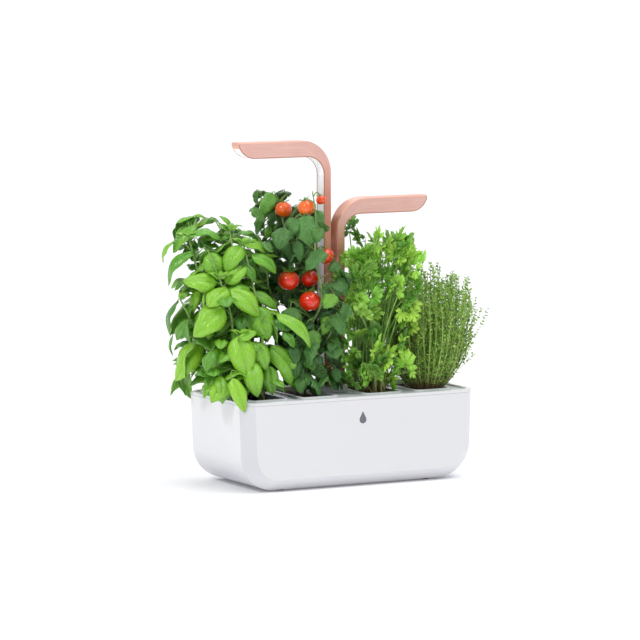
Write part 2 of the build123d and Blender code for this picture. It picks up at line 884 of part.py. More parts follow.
with BuildPart() as lamp_led_board:
    with BuildSketch(Plane.XY.offset(sink_bottom)):
        with Locations((sink_middle, 0)):
            Rectangle(sink_end - sink_start, led_board_width)
    extrude(amount=-board_thickness)
    with BuildSketch(Plane.XY.offset(sink_bottom - board_thickness)):
        with Locations((sink_middle, 0)):
            with GridLocations(led_pitch, led_pitch, led_count, 2):
                Rectangle(led_size, led_size)
    extrude(amount=-(led_height - strip_gap))

with BuildPart() as lamp_heat_sink:
    with BuildSketch(Plane.XY.offset(sink_bottom)):
        with Locations((sink_middle, 0)):
            Rectangle(sink_end - sink_start, heat_sink_width)
    extrude(amount=sink_top - sink_bottom)
    with BuildSketch(Plane.XY.offset(sink_top)):
        with Locations((sink_middle, 0)):
            with GridLocations(fin_slot, 2 * fin_slot, 1, fin_count):
                Rectangle(sink_end - sink_start, fin_slot)
    extrude(amount=-fin_gap, mode=Mode.SUBTRACT)

with BuildPart() as lamp_bus_bars:
    with BuildSketch(Plane.XY.offset(cover_bottom + shoe_plug)):
        with Locations((bus_bar_x - bus_bar_thickness / 2, 0)):
            with GridLocations(bus_bar_width, 2 * bus_bar_offset, 1, 2):
                Rectangle(bus_bar_thickness, bus_bar_width)
    extrude(amount=bend_z - cover_bottom - shoe_plug)

with BuildPart() as lamp_shoe:
    with BuildSketch(Plane.XY.offset(-lamp_length)):
        with Locations((pocket_x, 0)):
            Rectangle(stem_thickness, lamp_depth)
    extrude(amount=shoe_cap)
    with BuildSketch(Plane.XY.offset(cover_bottom)):
        with Locations(((plug_outer + plug_inner) / 2, 0)):
            Rectangle(plug_inner - plug_outer, 2 * strip_half)
    extrude(amount=shoe_plug)

lamp_parts = {
    "lamp_cover": lamp_cover.part,
    "diffuser": lamp_diffuser.part,
    "stem_liner": lamp_stem_liner.part,
    "led_board": lamp_led_board.part,
    "heat_sink": lamp_heat_sink.part,
    "bus_bars": lamp_bus_bars.part,
    "stem_shoe": lamp_shoe.part,
}
for name, piece in lamp_parts.items():
    raised = piece.moved(Location((0, 0, left_lamp_top)))
    lowered = piece.moved(Location((0, 0, left_lamp_top - lamp_travel)))
    keep(mirror(raised, about=Plane.YZ), f"left_{name}")
    keep(lowered, f"right_{name}")


# Where a slot's soil centre lies on the sight plane, in steps
soil_centres = {
    "basil": (249.6, 398.4),
    "tomato": (299.3, 395.7),
    "parsley": (362.7, 392.3),
}
turn_sin, turn_cos = sin(radians(sight_turn)), cos(radians(sight_turn))
tilt_sin, tilt_cos = sin(radians(sight_tilt)), cos(radians(sight_tilt))
towards_viewer = Vector(-turn_sin * tilt_cos, -turn_cos * tilt_cos, tilt_sin)

# Stems: column, row and depth of each bend, the first on the soil.
# Depths are shares of half the basin's depth, negative to the front.
basil_stems = [
    [(247, 396, 0.10), (214, 330, 0.02), (199, 269, 0.18), (191, 240, 0.30)],
    [(262, 401, -0.30), (238, 345, -0.46), (232, 312, -0.38), (222, 280, -0.30)],
    [(252, 395, 0.15), (240, 330, -0.10), (237, 270, -0.16), (231, 232, 0.20)],
    [(264, 401, -0.30), (264, 350, -0.48), (257, 300, -0.34), (245, 246, -0.18)],
    [(242, 397, 0.25), (202, 350, 0.02), (183, 300, 0.10)],
    [(266, 403, -0.42), (254, 372, -0.66), (244, 336, -0.66)],
]
tomato_stems = [
    [(314, 397, -0.20), (317, 359, -0.28), (306, 333, -0.16), (296, 300, 0.24),
     (287, 240, 0.24), (279, 203, 0.34)],
    [(306, 333, -0.16), (322, 300, -0.44), (316, 262, -0.46), (316, 230, -0.46),
     (316, 214, -0.52), (313, 193, -0.42)],
    [(296, 300, 0.24), (272, 272, 0.54), (266, 240, 0.62), (261, 190, 0.72)],
    [(317, 359, -0.28), (332, 330, -0.46), (344, 302, -0.58)],
]
parsley_stems = [
    [(357, 394, -0.18), (354.6, 363, -0.30), (355.3, 312, -0.34), (350, 268, -0.30)],
    [(374, 399, -0.45), (378, 351, -0.58), (387, 302, -0.56), (392, 262, -0.56)],
    [(366, 391, 0.00), (368, 330, 0.10), (374, 276, 0.22), (378, 250, 0.28)],
    [(384, 402, -0.58), (396, 352, -0.66), (404, 305, -0.74), (410, 272, -0.82)],
]

# Leaves: column, row and depth of the base, the same of the tip, and the width as a
# share of the length
basil_leaves = [
    (206.6, 218.3, 0.40, 192.6, 216.5, 0.46, 0.5),
    (197.5, 224.7, 0.36, 174.5, 248.9, 0.42, 0.5),
    (175.3, 242.0, 0.42, 161.5, 260.4, 0.62, 0.55),
    (195.9, 250.4, 0.20, 169.9, 282.3, 0.45, 0.5),
    (221.0, 237.0, 0.22, 194.5, 235.0, 0.18, 0.62),
    (211.2, 253.5, -0.05, 223.5, 281.0, -0.15, 0.7),
    (219.7, 279.5, -0.25, 186.7, 279.5, -0.10, 0.6),
    (226.6, 284.1, -0.30, 246.5, 264.2, -0.28, 0.6),
    (227.3, 287.2, -0.38, 211.2, 304.0, -0.52, 0.65),
    (232.7, 291.0, -0.42, 261.8, 314.7, -0.58, 0.55),
    (254.1, 292.5, -0.25, 280.1, 307.1, -0.34, 0.45),
    (241.9, 245.8, -0.18, 226.6, 270.3, -0.26, 0.6),
    (241.9, 241.2, -0.18, 267.4, 250.4, -0.20, 0.45),
    (250.3, 255.0, -0.20, 275.8, 271.9, -0.26, 0.5),
    (226.6, 313.2, -0.48, 197.5, 333.1, -0.45, 0.75),
    (263.3, 308.6, -0.44, 271.0, 335.4, -0.56, 0.9),
    (279.8, 316.0, -0.62, 311.8, 343.8, -0.76, 0.33),
    (241.9, 334.6, -0.70, 250.3, 373.2, -0.84, 0.7),
    (200.5, 342.3, 0.00, 179.1, 377.2, 0.10, 0.55),
    (179.1, 301.0, 0.22, 167.6, 334.6, 0.50, 0.4),
    (189.8, 319.3, 0.00, 176.0, 339.2, 0.20, 0.5),
    (258.7, 342.3, -0.64, 267.1, 366.0, -0.76, 0.6),
    (249.5, 362.2, -0.72, 258.7, 393.0, -0.84, 0.55),
    (267.9, 366.8, -0.58, 272.5, 392.0, -0.68, 0.6),
    (272.5, 346.9, -0.46, 294.4, 376.5, -0.58, 0.7),
    (234.2, 377.5, -0.86, 247.2, 409.0, -0.97, 0.45),
    (229.6, 379.0, -0.62, 215.8, 396.9, -0.72, 0.65),
    (174.5, 334.6, 0.30, 171.1, 354.5, 0.42, 0.4),
    (233.0, 230.0, 0.34, 222.0, 215.0, 0.40, 0.45),
]
tomato_leaves = [
    (271.0, 199.0, 0.34, 264.5, 216.0, 0.44, 0.75),
    (257.0, 190.0, 0.72, 256.0, 205.0, 0.76, 0.4),
    (262.2, 217.3, 0.66, 255.0, 234.6, 0.74, 0.5),
    (270.0, 226.0, 0.46, 267.0, 239.0, 0.50, 0.5),
    (304.6, 216.6, -0.40, 309.2, 247.4, -0.46, 0.7),
    (296.0, 219.0, -0.34, 291.0, 236.0, -0.38, 0.7),
    (317.0, 212.0, -0.40, 323.0, 228.0, -0.46, 0.6),
    (284.7, 240.5, 0.20, 290.8, 258.7, 0.12, 0.5),
    (297.0, 242.0, -0.36, 301.0, 262.0, -0.42, 0.5),
    (320.0, 259.0, -0.46, 304.9, 271.9, -0.50, 0.7),
    (259.2, 278.0, 0.68, 281.7, 293.3, 0.50, 0.5),
    (264.0, 250.0, 0.60, 280.0, 262.0, 0.50, 0.6),
    (340.7, 265.0, -0.44, 329.0, 270.0, -0.48, 0.8),
    (347.0, 304.3, -0.60, 341.7, 322.2, -0.66, 0.7),
    (315.0, 325.7, -0.30, 328.0, 347.4, -0.36, 0.6),
    (312.6, 362.6, -0.36, 328.0, 378.0, -0.46, 0.8),
    (335.2, 367.6, -0.46, 338.0, 381.5, -0.54, 0.8),
    (330.0, 316.0, -0.46, 323.0, 334.0, -0.52, 0.55),
    (297.0, 335.0, -0.34, 306.0, 353.0, -0.40, 0.6),
    (322.0, 285.0, -0.44, 331.0, 299.0, -0.50, 0.6),
]
parsley_leaves = [
    (350.0, 232.0, 0.26, 353.0, 220.0, 0.30, 0.5),
    (366.0, 241.0, 0.28, 356.0, 232.0, 0.32, 0.5),
    (381.0, 246.0, 0.30, 371.0, 236.0, 0.36, 0.5),
    (391.0, 250.0, -0.58, 402.0, 235.0, -0.66, 0.55),
    (401.0, 259.0, -0.66, 407.0, 243.0, -0.76, 0.5),
    (372.0, 260.0, -0.30, 376.0, 245.0, -0.34, 0.55),
    (411.0, 270.0, -0.82, 422.0, 257.0, -0.90, 0.55),
    (384.0, 257.0, 0.32, 389.0, 242.0, 0.36, 0.5),
    (363.0, 276.0, -0.34, 370.0, 261.0, -0.40, 0.55),
    (367.0, 296.0, -0.52, 378.0, 282.0, -0.60, 0.55),
    (355.0, 307.0, -0.50, 363.0, 294.0, -0.58, 0.5),
    (401.0, 302.0, -0.74, 414.0, 297.0, -0.82, 0.5),
    (405.0, 306.0, -0.76, 414.0, 318.0, -0.84, 0.5),
    (355.0, 295.0, -0.34, 345.0, 286.0, -0.30, 0.5),
    (378.0, 281.0, -0.44, 391.0, 269.0, -0.50, 0.55),
    (404.0, 350.0, -0.70, 400.0, 338.0, -0.74, 0.5),
    (404.0, 373.0, -0.80, 406.0, 358.0, -0.86, 0.6),
    (380.0, 363.0, -0.62, 391.0, 350.0, -0.68, 0.5),
    (361.0, 381.0, -0.56, 362.0, 368.0, -0.60, 0.5),
    (351.0, 263.0, -0.32, 353.0, 250.0, -0.36, 0.5),
]

# Fruits: column, row, depth, and radius as a share of the usual fruit's
fruits = [
    (284.0, 209.5, 0.30, 1.0),
    (307.0, 208.5, -0.32, 1.0),
    (321.5, 201.0, -0.28, 0.63),
    (325.4, 257.0, -0.32, 1.0),
    (289.0, 280.4, -0.06, 1.35),
    (310.0, 278.7, -0.05, 1.12),
    (310.0, 301.3, -0.30, 1.35),
]

# Borders between neighbouring plants in plan, from the back to the front, as shares:
# across, of the slots' pitch from the middle of the planter; deep, of half the depth
left_border_shares = [(-1.14, 1.3), (-1.14, -0.3), (-0.68, -0.62), (-0.58, -1.3)]
middle_border_shares = [(0.1, 1.3), (0.1, -1.3)]
right_border_shares = [(1.14, 1.3), (1.14, -0.6), (1.5, -1.3)]
outer_share = 4.0
far_left_shares = [(-outer_share, 1.3), (-outer_share, -1.3)]
far_right_shares = [(outer_share, 1.3), (outer_share, -1.3)]


def sight_place(plant, column, row, depth):
    """The point of a plant that the sight plane shows at column and row."""
    foot_column, foot_row = soil_centres[plant]
    across = (column - foot_column) * sight_step
    rise = (foot_row - row) * sight_step
    y = depth * half_depth
    x = (across + y * turn_sin) / turn_cos
    z = (rise - (x * turn_sin + y * turn_cos) * tilt_sin) / tilt_cos
    return Vector(slot_places[plant] + x, y, soil_top + z)


def rod(start, end, radius, end_radius):
    """A five-sided stem that tapers from start to end."""
    span = end - start
    with BuildPart() as stem:
        with BuildSketch(Plane(origin=start, z_dir=span)):
            RegularPolygon(radius, 5)
        extrude(amount=span.length, taper=degrees(atan2(radius - end_radius, span.length)))
    return stem.part


def blade(base, tip, width_share, turns):
    """A flat leaf from base to tip, or a fan of leaflets turned about the base."""
    span = tip - base
    facing = towards_viewer + Vector(0, 0, 1)
    if base.Y > 0:
        facing = Vector(facing.X, -facing.Y, facing.Z)
    along = span.normalized()
    normal = (facing - along * facing.dot(along)).normalized()
    reach = span.length
    with BuildPart() as leaf:
        with BuildSketch(Plane(origin=base, x_dir=along, z_dir=normal)):
            for turn in turns:
                with BuildLine(Plane.XY.rotated((0, 0, turn))):
                    ThreePointArc((0, 0), (reach / 2, width_share * reach / 2), (reach, 0))
                    ThreePointArc((reach, 0), (reach / 2, -width_share * reach / 2), (0, 0))
                make_face()
        extrude(amount=leaf_thickness / 2, both=True)
    return leaf.part


def place_on(spans, point, rise_share):
    """Where a stalk to point leaves the nearest stem, lower by a share of its length."""
    nearest, gap = None, 0
    for start, end in spans:
        span = end - start
        share = (point - start).dot(span) / span.length**2
        length = (point - start - span * min(max(share, 0), 1)).length
        if nearest is None or length < gap:
            share -= rise_share * length / span.length
            nearest, gap = start + span * min(max(share, 0), 1), length
    return nearest


def territory(left, right):
    """The upright space between two borders, clear of the lamps and the filler flap."""
    half_gap = foliage_gap / 2
    corners = [(x * slot_pitch + half_gap, y * half_depth) for x, y in left]
    corners += [(x * slot_pitch - half_gap, y * half_depth) for x, y in reversed(right)]
    height = left_lamp_top - soil_top
    slot_width = lamp_depth + 2 * lamp_clearance
    reach = lamp_reach + lamp_clearance
    left_low = left_lamp_top - lamp_travel - head_height - lamp_clearance
    right_low = left_low - cartridge_lift
    flap_swing = flap_length + lamp_clearance
    with BuildPart() as space:
        with BuildSketch(Plane.XY.offset(soil_top)):
            with BuildLine():
                Polyline(*corners, close=True)
            make_face()
        extrude(amount=height)
        with BuildSketch(Plane.XY.offset(soil_top)):
            Rectangle(2 * (stem_inner + lamp_clearance), slot_width)
        extrude(amount=height, mode=Mode.SUBTRACT)
        for low, side in ((left_low, -1), (right_low, 1)):
            with BuildSketch(Plane.XY.offset(low)):
                with Locations((side * reach / 2, 0)):
                    Rectangle(reach, slot_width)
            extrude(amount=soil_top + height - low, mode=Mode.SUBTRACT)
        with BuildSketch(Plane.XY.offset(soil_top)):
            with Locations((0, hinge_y - flap_swing / 2)):
                Rectangle(flap_width + 2 * lamp_clearance, 2 * flap_swing)
        extrude(amount=flap_swing, mode=Mode.SUBTRACT)
    return space.part


def stem_spans(plant, stem_rows):
    """The straight lengths of a plant's stems; those of the first bends start on the soil."""
    spans = []
    for row in stem_rows:
        bends = [sight_place(plant, *bend) for bend in row]
        if bends[0].Z < soil_top + tray_depth / 2:
            bends[0] = Vector(bends[0].X, bends[0].Y, soil_top)
        spans += zip(bends, bends[1:])
    return spans


def leafy_pieces(plant, spans, leaf_rows, turns, fence):
    """The stems, and on them each leaf, with a twin on the far side if within the fence."""
    pieces = [rod(start, end, stem_radius, stem_tip_radius) for start, end in spans]
    for column, row, depth, tip_column, tip_row, tip_depth, width_share in leaf_rows:
        base = sight_place(plant, column, row, depth)
        tip = sight_place(plant, tip_column, tip_row, tip_depth)
        pairs = [(base, tip)]
        if min(base.X, tip.X) > fence[0] and max(base.X, tip.X) < fence[1]:
            pairs.append((Vector(base.X, -base.Y, base.Z), Vector(tip.X, -tip.Y, tip.Z)))
        for start, end in pairs:
            inside = start + (end - start).normalized() * stem_radius
            joint = place_on(spans, start, stalk_rise_share)
            pieces.append(blade(start, end, width_share, turns))
            pieces.append(rod(joint, inside, stalk_radius, stalk_root))
    return pieces


def keep_rooted(grown, name):
    """Keep the solids that stand on the soil, without any scraps cut loose."""
    with BuildPart() as plant:
        add([solid for solid in grown.solids() if solid.bounding_box().min.Z < soil_top + stem_radius])
    keep(plant.part, name)


# Basil
basil_spans = stem_spans("basil", basil_stems)
basil_fence = (-outer_share * slot_pitch, left_border_shares[0][0] * slot_pitch)
with BuildPart() as basil:
    add(leafy_pieces("basil", basil_spans, basil_leaves, (0,), basil_fence))
    add(territory(far_left_shares, left_border_shares), mode=Mode.INTERSECT)
keep_rooted(basil.part, "basil_plant")

# Tomato, and its fruits on their stalks
tomato_spans = stem_spans("tomato", tomato_stems)
tomato_fence = (left_border_shares[0][0] * slot_pitch, -stem_inner)
balls = [
    (sight_place("tomato", column, row, depth), size_share * fruit_radius)
    for column, row, depth, size_share in fruits
]
stalks = []
for centre, radius in balls:
    crown = centre + Vector(0, 0, radius - dimple_depth)
    bend = centre + Vector(0, 0, radius + 2 * dimple_depth)
    stalks.append(rod(crown, bend, stalk_radius, stalk_root))
    stalks.append(rod(place_on(tomato_spans, bend, -stalk_rise_share), bend, stalk_radius, stalk_root))
with BuildPart() as tomato:
    add(leafy_pieces("tomato", tomato_spans, tomato_leaves, (0,), tomato_fence))
    for centre, radius in balls:
        with Locations(centre):
            Sphere(radius + fruit_gap, mode=Mode.SUBTRACT)
    add(stalks)
    add(territory(left_border_shares, middle_border_shares), mode=Mode.INTERSECT)
keep_rooted(tomato.part, "tomato_plant")

with BuildPart() as tomato_fruits:
    for centre, radius in balls:
        with Locations(centre):
            Sphere(radius)
        with BuildSketch(Plane.XY.offset(centre.Z + radius - dimple_depth)):
            with Locations((centre.X, centre.Y)):
                Circle(stalk_radius + fruit_gap)
        extrude(amount=dimple_depth + overrun, mode=Mode.SUBTRACT)
keep(tomato_fruits.part, "tomato_fruits")

# Parsley
parsley_spans = stem_spans("parsley", parsley_stems)
parsley_fence = (stem_inner, right_border_shares[0][0] * slot_pitch)
with BuildPart() as parsley:
    add(leafy_pieces("parsley", parsley_spans, parsley_leaves, leaflet_turns, parsley_fence))
    add(territory(middle_border_shares, right_border_shares), mode=Mode.INTERSECT)
keep_rooted(parsley.part, "parsley_plant")

# Thyme: a dome of sprigs that bend up from a low crown
crown = Vector(slot_places["thyme"], crown_offset_y, soil_top)
dome_centre = Vector(crown.X + dome_offset_x, dome_offset_y, soil_top)
sprigs = [rod(crown, crown + Vector(0, 0, crown_height), crown_radius, crown_radius)]
for count in range(sprig_count):
    spread_share = sqrt((count + 1) / sprig_count)
    turn = radians(count * golden_turn)
    side, rear = spread_share * cos(turn), spread_share * sin(turn)
    rise = sprig_length * sqrt(1 - sprig_fall_share * spread_share**2)
    foot = crown + Vector(side, rear, 0) * (crown_radius - 2 * sprig_radius)
    tip = dome_centre + Vector(dome_reach * side, dome_depth * rear, rise)
    bend = foot + (tip - foot) * sprig_knee_share
    knee = Vector(bend.X, bend.Y, soil_top + sprig_knee)
    sprigs.append(rod(foot, knee, sprig_stem_radius, sprig_radius))
    sprigs.append(rod(knee, tip, sprig_radius, sprig_stem_radius))
with BuildPart() as thyme:
    add(sprigs)
    add(territory(right_border_shares, far_right_shares), mode=Mode.INTERSECT)
keep_rooted(thyme.part, "thyme_plant")
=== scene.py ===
import json
from math import cos, pi, radians, sin

import bpy
import numpy as np
from mathutils import Matrix, Vector


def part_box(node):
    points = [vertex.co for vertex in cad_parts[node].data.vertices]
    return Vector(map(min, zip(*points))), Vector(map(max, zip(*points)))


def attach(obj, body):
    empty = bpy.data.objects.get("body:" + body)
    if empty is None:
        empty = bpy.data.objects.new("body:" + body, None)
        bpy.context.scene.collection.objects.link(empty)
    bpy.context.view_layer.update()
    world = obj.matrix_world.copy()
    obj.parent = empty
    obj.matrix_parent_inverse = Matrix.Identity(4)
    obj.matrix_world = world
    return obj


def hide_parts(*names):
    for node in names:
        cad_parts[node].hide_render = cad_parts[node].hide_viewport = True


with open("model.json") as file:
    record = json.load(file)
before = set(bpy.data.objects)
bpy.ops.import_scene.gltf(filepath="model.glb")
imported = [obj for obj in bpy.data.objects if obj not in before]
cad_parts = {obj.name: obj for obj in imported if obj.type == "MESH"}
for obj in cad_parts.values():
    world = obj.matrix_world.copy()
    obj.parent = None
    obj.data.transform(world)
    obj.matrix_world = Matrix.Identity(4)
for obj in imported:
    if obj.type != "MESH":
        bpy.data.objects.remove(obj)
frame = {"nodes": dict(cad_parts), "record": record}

# Indoor herb planter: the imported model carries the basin, deck, trays and working parts;
# this script gives them their finishes and grows the four plants, in metres.
scene = bpy.context.scene
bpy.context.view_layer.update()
mm = 0.001
planter = dict(halfDepth=102.75 * mm, soilTop=131.5 * mm, seam=133.5 * mm)
slotPlaces = dict(basil=-0.141, tomato=-0.055, parsley=0.055, thyme=0.141)
upward = np.array([0, 0, 1.0])
mirrored = np.array([1, -1, 1])
goldenTurn = radians(137.5)
print("frame loaded:", len(frame["nodes"]), "nodes")


# arrays to meshes
def unit(a):
    return a / np.maximum(np.linalg.norm(a, axis=-1, keepdims=True), 1e-9)


def makePiece(name, plant, points, faces, coats, slotName=None, replaced=(), uv=None, tone=None,
              crease=None, thickness=None):
    # points is an array of places, faces a list of index arrays, each of quads or of triangles;
    # uv and tone are spread over the points where they list fewer
    mesh = bpy.data.meshes.new(name)
    mesh.from_pydata(points.reshape(-1, 3).tolist(), [], [f for part in faces for f in part.tolist()])
    if uv is not None:
        corner = np.zeros(len(mesh.loops), int)
        mesh.loops.foreach_get("vertex_index", corner)
        spread = np.broadcast_to(uv, points.shape[:-1] + (2,)).reshape(-1, 2)
        layer = mesh.uv_layers.new(name="UVMap")
        layer.uv.foreach_set("vector", spread[corner].astype(np.float32).ravel())
    if tone is not None:
        mark = mesh.attributes.new("tone", "FLOAT_VECTOR", "POINT")
        mark.data.foreach_set("vector", np.broadcast_to(tone, points.shape).astype(np.float32).ravel())
    mesh.shade_smooth()
    if crease:
        mesh.set_sharp_from_angle(angle=radians(crease))
    for coat in coats:
        mesh.materials.append(coat)
    piece = bpy.data.objects.new(name, mesh)
    scene.collection.objects.link(piece)
    body = f"{plant}_cartridge"
    slotName = slotName or f"{plant}_green"
    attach(piece, body)
    if replaced:
        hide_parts(*replaced)
    if thickness:
        solid = piece.modifiers.new("thickness", "SOLIDIFY")
        solid.thickness, solid.offset = thickness, 0
        solid.material_offset, solid.material_offset_rim = 1, 0


def gridFaces(points):
    # quads between neighbouring rows and columns of each grid in points (n, rows, columns, 3)
    count, rows, columns = points.shape[:3]
    row, column = np.meshgrid(np.arange(rows - 1), np.arange(columns - 1), indexing="ij")
    first = (row * columns + column).ravel()
    quad = np.stack([first, first + columns, first + columns + 1, first + 1], -1)
    return (quad[None] + (np.arange(count) * rows * columns)[:, None, None]).reshape(-1, 4)


def knobFaces(count):
    # eight triangles for each of count bodies, whose six corners are the ends of three axes
    eight = np.array([(0, 2, 4), (2, 1, 4), (1, 3, 4), (3, 0, 4), (2, 0, 5), (1, 2, 5), (3, 1, 5), (0, 3, 5)])
    return (eight[None] + (np.arange(count) * 6)[:, None, None]).reshape(-1, 3)


def ringBodies(rings):
    # rings (n, p, q, 3): n closed bodies of p rings of q points, each end closed by a fan
    # of triangles on the middle of its last ring
    n, p, q = rings.shape[:3]
    row, turn = np.meshgrid(np.arange(p - 1), np.arange(q), indexing="ij")
    nextTurn = (turn + 1) % q
    upper = (row + 1) * q
    quad = np.stack([row * q + turn, row * q + nextTurn, upper + nextTurn, upper + turn], -1)
    quads = (quad.reshape(1, -1, 4) + (np.arange(n) * p * q)[:, None, None]).reshape(-1, 4)
    ends = np.stack([rings[:, 0].mean(1), rings[:, -1].mean(1)], 1)
    around = np.arange(q)
    start = (np.arange(n) * p * q)[:, None]
    last = start + (p - 1) * q
    middle = np.broadcast_to(n * p * q + 2 * np.arange(n)[:, None], (n, q))
    low = np.stack([middle, start + (around + 1) % q, start + around], -1)
    high = np.stack([middle + 1, last + around, last + (around + 1) % q], -1)
    points = np.concatenate([rings.reshape(-1, 3), ends.reshape(-1, 3)])
    return points, [quads, low.reshape(-1, 3), high.reshape(-1, 3)]


def joinBodies(parts):
    # several (points, faces) of closed bodies as one
    points, faces, start = [], [], 0
    for bodyPoints, bodyFaces in parts:
        points.append(bodyPoints)
        faces += [f + start for f in bodyFaces]
        start += len(bodyPoints)
    return np.concatenate(points), faces


def polar(turn, radius, height):
    # places at a radius and a turn about the upright axis
    return np.stack(np.broadcast_arrays(np.cos(turn) * radius, np.sin(turn) * radius, height), -1)


def bowed(foot, bend, end, count):
    # quadratic curves from foot to end, drawn towards bend, at count even steps
    t = np.linspace(0, 1, count)[None, :, None]
    return foot[:, None] * (1 - t) ** 2 + bend[:, None] * 2 * t * (1 - t) + end[:, None] * t**2


def smoothPaths(bends, count):
    # Catmull-Rom curve through each row of bends (n, k, 3), read at count even steps
    k = bends.shape[1]
    wide = np.concatenate([2 * bends[:, :1] - bends[:, 1:2], bends, 2 * bends[:, -1:] - bends[:, -2:-1]], 1)
    at = np.linspace(0, k - 1, count)
    cell = np.minimum(at.astype(int), k - 2)
    t = (at - cell)[None, :, None]
    a, b, c, d = (wide[:, cell + i] for i in range(4))
    return 0.5 * (2 * b + (c - a) * t + (2 * a - 5 * b + 4 * c - d) * t**2 + (3 * b - a - 3 * c + d) * t**3)


def travelled(paths):
    # the length run from each path's foot to each of its steps
    step = np.linalg.norm(np.diff(paths, axis=1), axis=-1)
    return np.concatenate([np.zeros((len(paths), 1)), np.cumsum(step, 1)], 1)


def pathPlaces(joints, run, path):
    # the places on one path where the length run is joints
    return np.stack([np.interp(joints, run, path[:, i]) for i in range(3)], -1)


def tubes(paths, radii, sides):
    # closed bodies of circles carried along paths (n, p, 3), square to the path at each step
    ahead = unit(np.gradient(paths, axis=1))
    mean = ahead.mean(1, keepdims=True)
    guide = np.where(np.abs(mean[..., :1]) < 0.8, np.array([1.0, 0, 0]), np.array([0, 1.0, 0]))
    across = unit(np.cross(ahead, guide))
    up = np.cross(across, ahead)
    turn = np.arange(sides) * 2 * pi / sides
    circle = across[:, :, None] * np.cos(turn)[:, None] - up[:, :, None] * np.sin(turn)[:, None]
    return ringBodies(paths[:, :, None] + circle * np.broadcast_to(radii, paths.shape[:2])[:, :, None, None])


# shader sums
class Wire:
    # one output of a shader node; sums of wires add Math nodes, and add() makes any other node
    def __init__(self, tree, socket=None):
        self.tree, self.socket = tree, socket

    def add(self, kind, settings=None, values=None, output=0):
        node = self.tree.nodes.new(kind)
        for key, value in (settings or {}).items():
            setattr(node, key, value)
        for key, value in (values or {}).items():
            if isinstance(value, Wire):
                self.tree.links.new(value.socket, node.inputs[key])
            else:
                node.inputs[key].default_value = value
        return Wire(self.tree, node.outputs[output])

    def maths(self, operation, first, second=0.0):
        return self.add("ShaderNodeMath", {"operation": operation}, {0: first, 1: second})

    def __add__(self, other):
        return self.maths("ADD", self, other)

    def __radd__(self, other):
        return self.maths("ADD", other, self)

    def __sub__(self, other):
        return self.maths("SUBTRACT", self, other)

    def __rsub__(self, other):
        return self.maths("SUBTRACT", other, self)

    def __mul__(self, other):
        return self.maths("MULTIPLY", self, other)

    def __rmul__(self, other):
        return self.maths("MULTIPLY", other, self)

    def __abs__(self):
        return self.maths("ABSOLUTE", self)

    def least(self, other):
        return self.maths("MINIMUM", self, other)

    def most(self, other):
        return self.maths("MAXIMUM", self, other)

    def length(self, other):  # the long side over two short ones
        return self.maths("POWER", self * self + other * other, 0.5)

    def wave(self):
        return self.maths("SINE", self)

    def step(self, low, high, start=0.0, end=1.0):  # eases from start to end between low and high
        return self.add("ShaderNodeMapRange", {"interpolation_type": "SMOOTHSTEP"},
                        {0: self, 1: low, 2: high, 3: start, 4: end})

    def blend(self, low, high, share=None):  # the share of high is this wire, or else a number
        return self.add("ShaderNodeMix", {"data_type": "RGBA"}, {0: share or self, 6: low, 7: high}, 2)

    def parts(self):
        outputs = self.add("ShaderNodeSeparateXYZ", {}, {0: self}).socket.node.outputs
        return [Wire(self.tree, outputs[i]) for i in range(3)]


def rgb(*screen):
    # a colour read off a screen, 0 to 255, as the shader's linear one
    return tuple(((v / 255 + 0.055) / 1.055) ** 2.4 if v > 10 else v / 255 / 12.92 for v in screen) + (1.0,)


def scaled(colour, factor, lift=0.0):
    return tuple(min(c * factor + lift, 1) for c in colour[:3]) + (1,)


class Finish:
    # a material, its shader, and the starting wires that the patterns read
    def __init__(self, name, **constants):
        self.material = bpy.data.materials.new(name)
        self.material.use_nodes = True
        self.tree = self.material.node_tree
        self.shader = self.tree.nodes["Principled BSDF"]
        for key, value in constants.items():
            self.shader.inputs[key.replace("_", " ")].default_value = value
        self.start = Wire(self.tree)
        self.place = self.start.add("ShaderNodeTexCoord", output="Object")

    def noise(self, scale, detail=3.0, roughness=0.5, vector=None):
        return self.start.add("ShaderNodeTexNoise", {}, {
            "Vector": vector or self.place, "Scale": scale, "Detail": detail, "Roughness": roughness})

    def cells(self, scale):
        return self.start.add("ShaderNodeTexVoronoi", {}, {"Vector": self.place, "Scale": scale})

    def fibre(self, scale, detail, roughness, stretch):  # noise drawn out along the height
        drawn = self.start.add("ShaderNodeMapping", {}, {"Vector": self.place, "Scale": (1, 1, stretch)})
        return self.noise(scale, detail, roughness, drawn)

    def normal(self):
        return self.start.add("ShaderNodeTexCoord", output="Normal").parts()

    def uv(self):
        return self.start.add("ShaderNodeUVMap", {"uv_map": "UVMap"}).parts()

    def tone(self):
        return self.start.add("ShaderNodeAttribute", {"attribute_name": "tone"}, output="Vector").parts()

    def cover(self, colour, roughness, height=None, distance=0.0, strength=1.0):
        # the patterns of a finish: its colour, its roughness and, where it has one, its relief
        wires = {"Base Color": colour, "Roughness": roughness}
        if height:
            wires["Normal"] = self.start.add("ShaderNodeBump", {}, {
                "Height": height, "Distance": distance, "Strength": strength})
        for name, wire in wires.items():
            self.tree.links.new(wire.socket, self.shader.inputs[name])
        return self.material


# hard finishes: colour, how much it varies, roughness, grain of the surface
def moulded(name, colour, roughness, drift, grain=0.00003, grainScale=2500, **more):
    finish = Finish(name, **more)
    cloud = finish.noise(18, 3).step(0.3, 0.7)
    body = cloud.blend(scaled(colour, 1 - 2 * drift), scaled(colour, 1 + drift))
    roughness = roughness + (finish.noise(60, 4) - 0.5) * 0.1
    return finish.cover(body, roughness, finish.noise(grainScale, 2), grain, 0.6)


